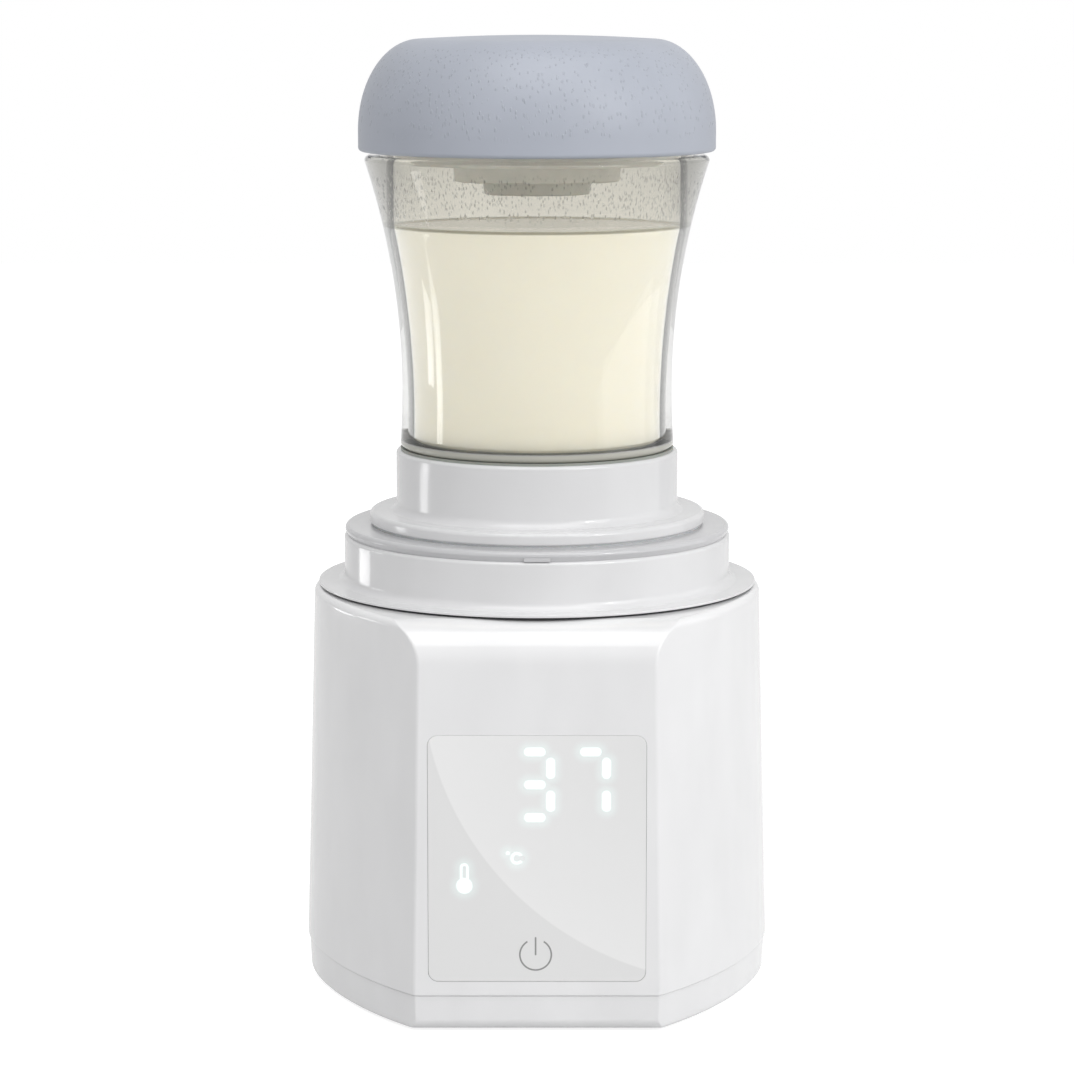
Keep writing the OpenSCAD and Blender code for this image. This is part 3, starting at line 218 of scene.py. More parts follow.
def worked_metal(name, colour, shade, rough=0.3, lathe=False):
    """Rolled or spun metal: fine lines of polish, drawn about 0.3 mm apart so that they show."""
    material, tree, shader = finish_of(name, colour, Metallic=1.0)
    if lathe:
        lines = add(tree, "TexWave", {"wave_type": "RINGS", "rings_direction": "Z", "Scale": 0.55,
                                      "Distortion": 0.8, "Detail": 3}, Vector=in_mm(tree))
    else:
        lines = add(tree, "TexNoise", {"Scale": 1.0, "Detail": 4}, Vector=in_mm(tree, (3, 0.3, 0.3)))
    mottle(tree, shader, lines, shade, colour, rough, 0.08)
    emboss(tree, shader, lines, 0.01, 0.25)
    return material


def dashes(tree, low, high):
    """Short upright strokes scattered over a surface, 0.4 mm wide and 1.1 mm long, between two heights."""
    cells = add(tree, "TexVoronoi", {"Randomness": 1.0, "Scale": 1.0}, Vector=in_mm(tree, (0.85, 0.85, 2.0)))
    stroke = add(tree, "MapRange", {**SMOOTH, "From Min": 0.3, "From Max": 0.16}, Value=cells)
    height = add(tree, "SeparateXYZ", out=2, Vector=in_mm(tree))
    above = add(tree, "MapRange", {"From Min": low, "From Max": low + 1.5}, Value=height)
    below = add(tree, "MapRange", {"From Min": high + 1.5, "From Max": high}, Value=height)
    return add(tree, "Math.MULTIPLY", i0=stroke, i1=add(tree, "Math.MULTIPLY", i0=above, i1=below))


def lid_plastic(colour):
    """Moulded polypropylene with a matt skin, on which embossed dashes catch a glancing light."""
    material, tree, shader = finish_of("Matt stroked polypropylene", colour, IOR=1.49)
    cloud = add(tree, "TexNoise", {"Scale": 1 / 16, "Detail": 2}, Vector=in_mm(tree))
    share = add(tree, "MapRange", MIDDLE, Value=cloud)
    tone = add(tree, "Mix", COLOURS, 2, i0=share, i6=rgba(darker(colour, 0.94)), i7=rgba(colour))
    marks = dashes(tree, 186, 205)
    rough = add(tree, "MapRange", {"To Min": 0.42, "To Max": 0.25}, Value=marks)
    feed(shader, Base_Color=tone, Roughness=rough)
    strokes = add(tree, "Bump", {"Strength": 0.9, "Distance": 0.1 * MM}, Height=marks)
    skin(tree, shader, 0.35, 0.012, 0.25, Normal=strokes)
    return material


def vessel_glass(milk_top):
    """Pressed clear glass. Its bend of light is turned down, because at glass's own index the wall would look
    full of milk, and the photograph shows it clear. A coat with glass's index gives back its gloss. The light
    lost inside it greys the edges, where the eye looks along the wall."""
    material, tree, shader = finish_of("Pressed clear glass", "FAFAF8", IOR=1.05, Transmission_Weight=1.0,
                                       Roughness=0.0, Coat_Weight=1.0, Coat_IOR=1.5, Coat_Roughness=0.02)
    marks = dashes(tree, milk_top + 1, 178)
    strokes = add(tree, "Bump", {"Strength": 0.6, "Distance": 0.15 * MM}, Height=marks)
    feed(shader, Normal=strokes, Coat_Normal=strokes)
    height = add(tree, "SeparateXYZ", out=2, Vector=in_mm(tree))
    # Mask of the foot: opaque glass below 119.4 mm, clear above 119.9 mm.
    foot = add(tree, "MapRange", {"From Min": 119.4, "From Max": 119.9}, Value=height)
    feed(shader, Transmission_Weight=foot)
    # Painted shade, held in film: above the milk the glass's colour is tinted a warmer grey (EEECE5), where
    # the empty glass looks darker.
    film = add(tree, "MapRange", {"From Min": milk_top - 0.2, "From Max": milk_top + 0.2}, Value=height)
    speck = add(tree, "Math.MULTIPLY", i0=marks, i1=0.55)
    # Painted shade: a thin band just under the milk's top is tinted darker (BAB9AF), standing in for the dark
    # line at the meniscus.
    line = add(tree, "Math.ABSOLUTE", i0=add(tree, "Math.SUBTRACT", i0=height, i1=milk_top - 0.32))
    line = add(tree, "MapRange", {**SMOOTH, "From Min": 0.4, "From Max": 0.2}, Value=line)
    tone = rgba("FAFAF8")
    for share, colour in ((film, "EEECE5"), (speck, "6A6A62"), (line, "BAB9AF")):
        tone = add(tree, "Mix", COLOURS, 2, i0=share, i6=tone, i7=rgba(colour))
    # Painted shade: the opaque foot is tinted grey-green (B5B4AA), standing in for the darker look of thick
    # glass seen edge-on.
    tone = add(tree, "Mix", COLOURS, 2, i0=foot, i6=rgba("B5B4AA"), i7=tone)
    feed(shader, Base_Color=tone)
    depth = add(tree, "VolumeAbsorption", {"Color": rgba("9C9D9C"), "Density": 30})
    feed(tree.nodes["Material Output"], Volume=depth)
    return material


def milk_finish(colour):
    """Warm milk: an opaque cream that scatters light a little below its surface."""
    material, tree, shader = finish_of("Warm milk", colour, IOR=1.35, Subsurface_Weight=0.35,
                                       Subsurface_Scale=0.004, Subsurface_Radius=(1.0, 0.85, 0.6))
    swirl = add(tree, "TexNoise", {"Scale": 1 / 24, "Detail": 2}, Vector=in_mm(tree))
    mottle(tree, shader, swirl, darker(colour, 0.985), colour, 0.07, 0.02)
    skin(tree, shader, 6, 0.01, 0.1)
    return material


def off_bar(tree, flat, x, y, half_x, half_y):
    """How far a place on the panel is from a bar that lies flat or stands up."""
    off = add(tree, "VectorMath.SUBTRACT", i0=flat, i1=(x, 0, y))
    off = add(tree, "VectorMath.ABSOLUTE", i0=off)
    off = add(tree, "VectorMath.SUBTRACT", i0=off, i1=(half_x, 0, half_y))
    off = add(tree, "VectorMath.MAXIMUM", i0=off, i1=(0, 0, 0))
    return add(tree, "VectorMath.LENGTH", out=1, i0=off)


def off_circle(tree, flat, x, y, r):
    """How far a place on the panel is from the line of a circle."""
    reach = add(tree, "VectorMath.DISTANCE", out=1, i0=flat, i1=(x, 0, y))
    return add(tree, "Math.ABSOLUTE", i0=add(tree, "Math.SUBTRACT", i0=reach, i1=r))


def display_plastic(colour, glow, lights, symbol, sweep):
    """A back-printed polycarbonate panel: a pale grey film behind a hard clear face, lighter beyond one wide
    arc and fading back away from it. Light from behind spreads in the film round each lit bar and sign."""
    material, tree, shader = finish_of(
        "Back-printed polycarbonate", colour, IOR=1.58, Coat_Weight=0.4, Coat_Roughness=0.02, Roughness=0.22)
    flat = add(tree, "VectorMath.MULTIPLY", i0=in_mm(tree, where=(0, 0, -SEAM)), i1=(1, 0, 1))

    (sweep_x, sweep_y), sweep_r = sweep
    reach = add(tree, "VectorMath.DISTANCE", out=1, i0=flat, i1=(sweep_x, 0, sweep_y))
    edge = {**SMOOTH, "From Min": sweep_r + 0.25, "From Max": sweep_r - 0.25}
    side = add(tree, "MapRange", edge, Value=reach)
    inner = add(tree, "MapRange", {"From Min": sweep_r - 45, "From Max": sweep_r}, Value=reach)
    lift = add(tree, "Math.MULTIPLY", i0=side, i1=inner)
    tone = add(tree, "Mix", COLOURS, 2, i0=lift, i6=rgba(colour), i7=rgba("F4F4F4"))

    nearest = None
    for x, y, half_x, half_y, grow, half_line in lights:
        far = add(tree, "Math.SUBTRACT", i0=off_bar(tree, flat, x, y, half_x, half_y), i1=grow)
        if half_line:
            far = add(tree, "Math.SUBTRACT", i0=add(tree, "Math.ABSOLUTE", i0=far), i1=half_line)
        nearest = add(tree, "Math.MINIMUM", i0=nearest, i1=far) if nearest else far
    ring_x, ring_y, ring_r, half_line = DEGREE_RING
    ring = off_circle(tree, flat, ring_x, ring_y, ring_r)
    right = add(tree, "Math.GREATER_THAN", i0=add(tree, "SeparateXYZ", Vector=flat), i1=ring_x + 0.55)
    mouth = add(tree, "VectorMath.DISTANCE", out=1, i0=flat, i1=(ring_x + 1.1, 0, ring_y))
    mouth = add(tree, "Math.MULTIPLY", i0=right, i1=add(tree, "Math.LESS_THAN", i0=mouth, i1=0.62))
    ring = add(tree, "Math.ADD", i0=add(tree, "Math.SUBTRACT", i0=ring, i1=half_line), i1=mouth)
    nearest = add(tree, "Math.MINIMUM", i0=nearest, i1=ring)
    core = add(tree, "MapRange", {**SMOOTH, "From Min": 0.3, "From Max": -0.3}, Value=nearest)
    fade = {"interpolation_type": "SMOOTHERSTEP", "From Min": 2.4, "From Max": -0.3, "To Max": 0.11 * glow}
    halo = add(tree, "MapRange", fade, Value=nearest)
    light = add(tree, "Mix", COLOURS, 2, i0=core, i6=rgba("A8E6DC"), i7=rgba("FFFFFF"))
    strength = add(tree, "Math.ADD", i0=add(tree, "Math.MULTIPLY", i0=core, i1=0.5 * glow), i1=halo)
    feed(shader, Emission_Color=light, Emission_Strength=strength)

    sign_x, sign_y, sign_r, half_line = symbol
    circle = off_circle(tree, flat, sign_x, sign_y, sign_r)
    wedge = add(tree, "VectorMath.DISTANCE", out=1, i0=flat, i1=(sign_x, 0, sign_y + sign_r))
    wedge = add(tree, "Math.SUBTRACT", i0=sign_r * 0.545 + half_line, i1=wedge)
    circle = add(tree, "Math.MAXIMUM", i0=circle, i1=wedge)
    stem = off_bar(tree, flat, sign_x, sign_y + 1.85, 0, 1.8)
    sign = add(tree, "Math.MINIMUM", i0=circle, i1=stem)
    edge = {**SMOOTH, "From Min": half_line + 0.09, "From Max": half_line - 0.05}
    ink = add(tree, "MapRange", edge, Value=sign)
    printed = add(tree, "Mix", COLOURS, 2, i0=ink, i6=tone, i7=rgba("8A8A8A"))
    worn = add(tree, "TexNoise", {"Scale": 1 / 7, "Detail": 3}, Vector=in_mm(tree))
    rough = add(tree, "MapRange", {**MIDDLE, "To Min": 0.19, "To Max": 0.25}, Value=worn)
    feed(shader, Base_Color=printed, Roughness=rough)
    skin(tree, shader, 3, 0.003, 0.15)
    return material


def circuit_board():
    """Glass-fibre laminate under green solder mask: tracks show as raised lines of a lighter green."""
    material, tree, shader = finish_of(
        "Green solder mask on laminate", "1F6B3A", IOR=1.5, Coat_Weight=0.3, Coat_Roughness=0.1)
    tracks = add(tree, "TexBrick", {"Scale": 1.0, "Mortar Size": 0.12, "Brick Width": 4.2, "Row Height": 1.6},
                 out="Fac", Vector=in_mm(tree, (1, 1, 1), (0.7, 0.3, 0.5)))
    mottle(tree, shader, tracks, "1B5E33", "3E8A52", 0.35, 0.06)
    emboss(tree, shader, tracks, 0.04, 0.4)
    return material


def lit_acrylic(glow):
    """Moulded light pipe: clear acrylic with a frosted end, lit from behind by the board's lamps."""
    material, tree, shader = finish_of(
        "Frosted acrylic light pipe", "EAF6F5", IOR=1.49, Transmission_Weight=0.4, Roughness=0.35)
    frost = add(tree, "TexNoise", {"Scale": 3.0, "Detail": 3}, Vector=in_mm(tree))
    strength = add(tree, "MapRange", {"To Min": 0.5 * glow, "To Max": 0.7 * glow}, Value=frost)
    feed(shader, Emission_Color=rgba("E6FBF8"), Emission_Strength=strength)
    skin(tree, shader, 0.3, 0.02, 0.4)
    return material


def ceramic_fibre():
    """Needled ceramic-fibre pad: a felted, pale tan mat with loose fibres."""
    material, tree, shader = finish_of("Needled ceramic fibre", "CDB58E", Sheen_Weight=0.3, Roughness=0.9)
    fibres = add(tree, "TexNoise", {"Scale": 1.0, "Detail": 5, "Distortion": 1.2},
                 Vector=in_mm(tree, (2.4, 0.5, 0.5)))
    mottle(tree, shader, fibres, "B79A70", "DCC8A4", 0.88, 0.06)
    emboss(tree, shader, fibres, 0.15, 0.8)
    return material


def shrink_sleeve():
    """Heat-shrunk PVC sleeve over a cell: glossy teal film, rippled where it drew in at the ends."""
    material, tree, shader = finish_of(
        "Heat-shrunk teal PVC", "2E8C8A", IOR=1.53, Coat_Weight=0.5, Coat_Roughness=0.08)
    ripple = add(tree, "TexNoise", {"Scale": 1.0, "Detail": 3}, Vector=in_mm(tree, (1.2, 1.2, 6)))
    mottle(tree, shader, ripple, "267977", "379A97", 0.26, 0.05)
    emboss(tree, shader, ripple, 0.05, 0.4)
    return material


# Shapes, in millimetres, in the frame of the CAD model

SIDE_ARC = 57.0
SIDE_TURN = 18.0
DRAFT_W = 2.25
DRAFT_D = 1.2
DRAFT_FRONT = 1.25
LEAN = atan2(DRAFT_D, BODY_H)
FACING_FRONT = Matrix.Rotation(radians(90), 4, "X")

# The °C sign's letter: its place on the panel, the radius of its stroke and half the stroke's width
DEGREE_RING = (-4.2, 29.7, 1.05, 0.2)


def flank(half_w, half_d, front_w):
    """Centre and radius of the long arc between the side arc and the front crease."""
    side_x = half_w - SIDE_ARC
    across, turn = front_w - side_x, radians(SIDE_TURN)
    reach = across * cos(turn) + half_d * sin(turn)
    more = (across ** 2 + half_d ** 2 - SIDE_ARC ** 2) / (2 * (SIDE_ARC - reach))
    return side_x - more * cos(turn), -more * sin(turn), SIDE_ARC + more


def arc(cx, cy, r, start, end, steps, r2=None):
    """Points on a round or elliptical arc, in degrees, without the first one."""
    turns = [radians(start + (end - start) * i / steps) for i in range(1, steps + 1)]
    return [(cx + r * cos(a), cy + (r2 or r) * sin(a)) for a in turns]


def outline(half_w, half_d, front_w, inset, depth, crease):
    """The body's outline seen from above, set in by inset, with its front and back at depth."""
    fx, fy, fr = flank(half_w, half_d, front_w)
    r, cr = fr - inset, max(crease - inset, 0.3)
    cy = depth - cr
    cx = fx + sqrt((r - cr) ** 2 - (cy - fy) ** 2)
    turn = degrees(atan2(cy - fy, cx - fx))
    quarter = (arc(half_w - SIDE_ARC, 0, SIDE_ARC - inset, 0, SIDE_TURN, 10)
               + arc(fx, fy, r, SIDE_TURN, turn, 22) + arc(cx, cy, cr, turn, 90, 6))
    half = [(half_w - inset, 0.0)] + quarter + [(-x, y) for x, y in reversed(quarter)]
    return half + [(-x, -y) for x, y in half]


def edge_drop(z, top, r):
    """What a rounded edge of radius r, ending at height top, takes off at height z."""
    return 0 if z <= top - r else r - sqrt(max(0, r * r - (z - top + r) ** 2))


def body_ring(b, z, inset, top, shoulder, edge):
    """One ring of the drafted body."""
    share = max(0, z - b["seam"]) / BODY_H
    half_w, half_d = b["half_w"] - DRAFT_W * share, b["half_d"] - DRAFT_D * share
    points = outline(half_w, half_d, b["front_w"] - DRAFT_FRONT * share, inset + edge_drop(z, top, edge),
                     half_d - inset - edge_drop(z, top, shoulder), b["crease"])
    return [(x, y, z) for x, y in points]


def cover_ring(b, z, low, inset=0.0):
    """One ring of the base cover, which draws in downwards and is rounded underneath."""
    draw = 0.35 + 0.35 * (b["seam"] - z) / (b["seam"] - low) + inset
    points = outline(b["half_w"], b["half_d"], b["front_w"], draw + edge_drop(-z, -low, 1.2),
                     b["half_d"] - draw - edge_drop(-z, -low, 2.6), b["crease"])
    return [(x, y, z) for x, y in points]


def flat_ring(b, z, inset):
    """One ring of the lip that stands up inside the shell."""
    points = outline(b["half_w"], b["half_d"], b["front_w"], inset, b["half_d"] - inset, b["crease"])
    return [(x, y, z) for x, y in points]


def shoulder_levels(top, r, steps):
    return [top - r + r * sin(pi / 2 * i / steps) for i in range(steps + 1)]


def lofted(rings, joined=False):
    """A skin extruded ring by ring, each with as many points. Its ends are joined together, or capped."""
    bm = bmesh.new()
    order = bm.verts.layers.int.new("order")
    first = [bm.verts.new(p) for p in rings[0]]
    for i, vert in enumerate(first):
        vert[order] = i
    start = [bm.edges.new((first[i - 1], vert)) for i, vert in enumerate(first)]
    edges = start
    for ring in rings[1:]:
        grown = bmesh.ops.extrude_edge_only(bm, edges=edges)["geom"]
        fresh = {v for v in grown if isinstance(v, bmesh.types.BMVert)}
        for vert in fresh:
            vert.co = ring[vert[order]]
        edges = [e for e in grown if isinstance(e, bmesh.types.BMEdge) and fresh.issuperset(e.verts)]
    if joined:
        bmesh.ops.bridge_loops(bm, edges=start + edges)
    else:
        bmesh.ops.contextual_create(bm, geom=start)
        bmesh.ops.contextual_create(bm, geom=edges)
    return bm


def rounded(points):
    """A profile with its corners rounded. A point is (r, z), or (r, z, radius of its corner)."""
    out = []
    for i, point in enumerate(points):
        here = Vector(point[:2])
        if len(point) < 3:
            out.append(point)
            continue
        back = (Vector(points[i - 1][:2]) - here).normalized()
        ahead = (Vector(points[(i + 1) % len(points)][:2]) - here).normalized()
        half = back.angle(ahead) / 2
        centre = here + (back + ahead).normalized() * (point[2] / sin(half))
        start = here + back * (point[2] / tan(half)) - centre
        end = here + ahead * (point[2] / tan(half)) - centre
        first = atan2(start.y, start.x)
        sweep = (atan2(end.y, end.x) - first + pi) % tau - pi
        turns = [first + sweep * k / 6 for k in range(7)]
        out += [tuple(centre + point[2] * Vector((cos(turn), sin(turn)))) for turn in turns]
    return out


def turned(*profiles):
    """Turned shapes in one mesh: each closed profile of radius and height is spun round the Z axis."""
    bm = bmesh.new()
    for profile in profiles:
        ring = [bm.verts.new((r, 0, z)) for r, z in rounded(profile)]
        edges = [bm.edges.new((ring[i - 1], vert)) for i, vert in enumerate(ring)]
        bmesh.ops.spin(
            bm, geom=ring + edges, cent=(0, 0, 0), axis=(0, 0, 1), angle=tau, steps=192, use_merge=True)
    bmesh.ops.remove_doubles(bm, verts=bm.verts, dist=1e-4)
    bmesh.ops.dissolve_degenerate(bm, edges=bm.edges, dist=1e-5)
    return bm


# Threads: the rise in one turn, the number of starts, the height they start at, and the degrees a ridge spans
COLLAR_THREAD = (26, 6, 92.2, 50)
ADAPTER_THREAD = (26, 6, 94.7, 50)
FOOT_THREAD = (16, 4, 111.2, 66)
LID_THREAD = (21, 4, 185.2, 76)


def add_thread(bm, r, way, lead, starts, z0, span):
    """Helical ridges swept by spin: outward from a shaft (way 1), or inward from a bore (way -1)."""
    depth, sink, root = 0.9, 0.4, 0.52 * lead / starts / 2
    steps = round(span / 4)
    for start in range(starts):
        corners = [bm.verts.new((r + way * out, 0, z0 + up)) for out, up in (
            (-sink, -root), (-sink, root), (depth, root / 2), (depth, -root / 2))]
        face = bm.faces.new(corners)
        known = set(bm.verts)
        bmesh.ops.spin(bm, geom=[face], cent=(0, 0, 0), axis=(0, 0, 1), angle=radians(span), steps=steps,
                       dvec=(0, 0, lead * span / 360 / steps))
        ridge = corners + [v for v in bm.verts if v not in known]
        for vert in ridge:
            reach = hypot(vert.co.x, vert.co.y)
            share = degrees(atan2(vert.co.y, vert.co.x)) / span
            if way * (reach - r) > 0:
                wanted = r + way * depth * min(1, 0.25 + 4 * min(share, 1 - share))
                vert.co.x, vert.co.y = vert.co.x * wanted / reach, vert.co.y * wanted / reach
        turn = 360 * start / starts + (0 if way > 0 else 180 / starts)
        bmesh.ops.rotate(bm, verts=ridge, cent=(0, 0, 0), matrix=Matrix.Rotation(radians(turn), 3, "Z"))
    bmesh.ops.remove_doubles(bm, verts=bm.verts, dist=1e-4)
    return bm


def slab(half_w, half_h, corner, low, high, place, bevel=0.0):
    """A rounded plate about its own middle, from low to high, put in place; bevel rounds its upper edge."""
    bm = bmesh.new()
    bmesh.ops.create_grid(bm, x_segments=1, y_segments=1, size=1)
    bmesh.ops.scale(bm, vec=(half_w, half_h, 1), verts=bm.verts)
    bmesh.ops.translate(bm, vec=(0, 0, low), verts=bm.verts)
    bmesh.ops.bevel(bm, geom=bm.verts[:], offset=corner, offset_type="OFFSET", segments=8, profile=0.5,
                    affect="VERTICES", material=-1)
    grown = bmesh.ops.extrude_face_region(bm, geom=bm.faces[:])["geom"]
    upper = [v for v in grown if isinstance(v, bmesh.types.BMVert)]
    bmesh.ops.translate(bm, vec=(0, 0, high - low), verts=upper)
    if bevel:
        rim = [e for e in bm.edges if all(abs(v.co.z - high) < 1e-5 for v in e.verts)]
        bmesh.ops.bevel(bm, geom=rim, offset=bevel, segments=3, profile=0.5, affect="EDGES", material=-1)
    bmesh.ops.transform(bm, matrix=place, verts=bm.verts)
    return bm


def on_front(half_d, y):
    """A place on the front face: x to the right, y up the face from the seam, z outwards."""
    foot = Matrix.Translation((0, -half_d, SEAM)) @ Matrix.Rotation(-LEAN, 4, "X")
    return foot @ FACING_FRONT @ Matrix.Translation((0, y, 0))


def piece_of(name, bm):
    """A mesh object made from a bmesh in millimetres."""
    bmesh.ops.recalc_face_normals(bm, faces=bm.faces)
    bmesh.ops.scale(bm, vec=(MM,) * 3, verts=bm.verts)
    mesh = bpy.data.meshes.new(name)
    bm.to_mesh(mesh)
    bm.free()
    piece = bpy.data.objects.new(name, mesh)
    bpy.context.scene.collection.objects.link(piece)
    return piece


def cut_from(piece, tools):
    """Cuts shapes out of a piece for good."""
    cutters = [piece_of(f"cutter_{i}", tool) for i, tool in enumerate(tools)]
    for cutter in cutters:
        cut = piece.modifiers.new("Cut", "BOOLEAN")
        cut.operation, cut.object, cut.solver = "DIFFERENCE", cutter, "EXACT"
    mesh = bpy.data.meshes.new_from_object(piece.evaluated_get(bpy.context.evaluated_depsgraph_get()))
    piece.modifiers.clear()
    piece.data = mesh
    for cutter in cutters:
        bpy.data.objects.remove(cutter)


def settle(piece, body, finish, stands_for=(), sharp=30):
    """Shades a piece smooth up to its sharp edges, dresses it, ties it to its body, and hides the CAD nodes
    that it stands for.
    """
    mesh = piece.data
    mesh.materials.clear()
    mesh.materials.append(finish)
    mesh.polygons.foreach_set("use_smooth", [True] * len(mesh.polygons))
    mesh.set_sharp_from_angle(angle=radians(sharp))
    shade = piece.modifiers.new("Weighted normals", "WEIGHTED_NORMAL")
    shade.keep_sharp = True
    shade.weight = 80
    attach(piece, body)
    if stands_for:
        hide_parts(*stands_for)


def post(x, y, r, low, high):
    """An upright round cutter."""
    bm, place = bmesh.new(), Matrix.Translation((x, y, (low + high) / 2))
    bmesh.ops.create_cone(
        bm, cap_ends=True, segments=48, radius1=r, radius2=r, depth=high - low, matrix=place)
    return bm


def four(x, y):
    return [(i * x, j * y) for i in (1, -1) for j in (1, -1)]


def corner_of(node, r):
    """Middle of the right back one of a node's four equal round parts: its box's corner less their radius."""
    low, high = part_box(node)
    return high.x / MM - r, high.y / MM - r


def fit_seal(name, node, body, finish, r_in, r_out, low, high, corner=()):
    """Puts a moulded ring in the place of a CAD seal."""
    profile = [(r_in, low), (r_out, low, *corner), (r_out, high, *corner), (r_in, high)]
    settle(piece_of(name, turned(profile)), body, finish, [node])


# Operators, one for each piece or group of like pieces

class WARMER_OT_shell(bpy.types.Operator):
    """Build the body shell with its window and charging slot"""
    bl_idname = "warmer.shell"
    bl_label = "Body shell"

    def execute(self, context):
        b, d = sizes_of(context.scene.warmer_body), sizes_of(context.scene.warmer_display)
        top, seam, wall, shoulder = b["top"], b["seam"], b["wall"], b["shoulder"]
        ceiling, opening = top - wall - 0.2, 44.0
        levels = [(seam, 0.25), (seam + 0.1, 0.08), (seam + 0.3, 0)]
        levels += [(z, 0) for z in shoulder_levels(top, shoulder, 26)]
        outside = [body_ring(b, z, inset, top, shoulder, b["top_edge"]) for z, inset in levels]
        levels = [seam] + shoulder_levels(ceiling, shoulder - wall, 10)
        inside = [body_ring(b, z, wall, ceiling, shoulder - wall, 0.5) for z in reversed(levels)]
        hole = [(x * opening / hypot(x, y), y * opening / hypot(x, y)) for x, y, z in outside[-1]]
        rings = outside + [[(x, y, z) for x, y in hole] for z in (top, ceiling)] + inside
        shell = piece_of("shell", lofted(rings, joined=True))
        window, gap, ledge = on_front(b["half_d"], d["low"] + d["height"] / 2), 0.03, 1.5
        inlet = Matrix.Translation((0, 43.5, seam + 11.6)) @ Matrix.Rotation(radians(-90), 4, "X")
        cut_from(shell, [
            slab(d["half_w"] + gap, d["height"] / 2 + gap, 2.2, -d["thickness"], 3, window),
            slab(d["half_w"] - ledge, d["height"] / 2 - ledge, 1.0, -4, 0, window),
            slab(4.7, 1.8, 1.75, 0, 15, inlet)])
        finish = polished_abs("Polished white ABS", context.scene.warmer_finishes.shell)
        settle(shell, "base", finish, ["body_shell"])
        return {"FINISHED"}


class WARMER_OT_cover(bpy.types.Operator):
    """Build the base cover with its screw wells and foot recesses"""
    bl_idname = "warmer.cover"
    bl_label = "Base cover"

    def execute(self, context):
        b = sizes_of(context.scene.warmer_body)
        low, seam = 0.6, b["seam"]
        lip_out, lip_in, lip_top, floor = 2.45, 3.85, seam + 3, low + 2
        levels = [low + 2.6 * (1 - sin(pi / 2 * (1 - i / 14))) for i in range(15)]
        rings = [cover_ring(b, z, low) for z in levels + [seam - 0.2]] + [cover_ring(b, seam, low, 0.2)]
        rings += [flat_ring(b, z, inset) for z, inset in (
            (seam, lip_out), (lip_top, lip_out), (lip_top, lip_in), (floor, lip_in))]
        cover = piece_of("base_cover", lofted(rings))
        foot_r, head_r = 5.5, 2.9
        feet, wells = four(*corner_of("rubber_feet", foot_r)), four(*corner_of("base_screws", head_r))
        cut_from(cover, [post(x, y, foot_r + 0.1, -1, low + 1) for x, y in feet]
                 + [post(x, y, head_r + 0.2, -1, low + 1.9) for x, y in wells])
        finish = polished_abs("Polished white ABS, base", context.scene.warmer_finishes.shell)
        settle(cover, "base", finish, ["base_cover"])
        return {"FINISHED"}


class WARMER_OT_display(bpy.types.Operator):
    """Build the display panel, with its lit digits and signs"""
    bl_idname = "warmer.display"
    bl_label = "Display panel"

    def execute(self, context):
        b, d = sizes_of(context.scene.warmer_body), sizes_of(context.scene.warmer_display)
        panel = piece_of("display_panel", slab(
            d["half_w"], d["height"] / 2, 2.17, -d["thickness"], 0,
            on_front(b["half_d"], d["low"] + d["height"] / 2), 0.2))
        bar, bar_r, digit_w, digit_h, middle = 1.3, 0.85, 6.6, 14, 45.4
        places = [(0, digit_h / 2, 0), (digit_w / 2, digit_h / 4, 1), (digit_w / 2, -digit_h / 4, 1),
                  (0, -digit_h / 2, 0), (0, 0, 0)]
        # A light's middle, its half width and half height, its rounding, and half its line if it is outlined
        lights = [(left + x, middle + y, 0 if upright else bar, bar if upright else 0, bar_r, 0)
                  for left, bars in ((-0.45, places), (11.2, places[:3])) for x, y, upright in bars]
        bulb, tube = (-15.2, 23.8, 0, 0, 1.62, 0), (-15.2, 26.2, 0, 1.5, 0.66, 0.2)
        degree_dot = (-6.1, 30.8, 0, 0, 0.32, 0)
        power_sign, sweep = (-0.3, 8.95, 3.3, 0.15), ((42.2, 69.0), 66.2)
        finish = display_plastic(context.scene.warmer_finishes.panel, context.scene.warmer_display.glow,
                                 lights + [bulb, tube, degree_dot], power_sign, sweep)
        settle(panel, "base", finish, ["display_lens"], 34)
        return {"FINISHED"}


class WARMER_OT_collar(bpy.types.Operator):
    """Build the collar and its gasket"""
    bl_idname = "warmer.collar"
    bl_label = "Collar and gasket"

    def execute(self, context):
        low, base, top = 85.1, 88.0, 98.8
        bore, spigot, fillet, r, flange, ledge = 39.9, 43.6, 1.8, 42.7, 48.4, base + 0.5
        profile = [(bore, low), (spigot, low), (spigot, base), (flange, base, 0.15), (flange, ledge, 0.15)]
        profile += [(r + fillet, ledge)] + arc(r + fillet, ledge + fillet, fillet, 270, 180, 12)
        profile += [(r, top, 0.8), (bore, top, 0.3)]
        collar = piece_of("collar", add_thread(turned(profile), bore, -1, *COLLAR_THREAD))
        # Painted shade: the same white ABS as the shell, drawn darker (E3E3E4 against F2F2F3) to stand for
        # the shade on the collar.
        finish = polished_abs("Polished white ABS, collar, darkened as painted shade", "E3E3E4")
        settle(collar, "base", finish, ["collar"])
        fit_seal("collar_gasket", "collar_gasket", "base",
                 silicone("Moulded black silicone", "2B2C2E"), 44.4, 47.6, SEAM + BODY_H, base, (0.1,))
        return {"FINISHED"}


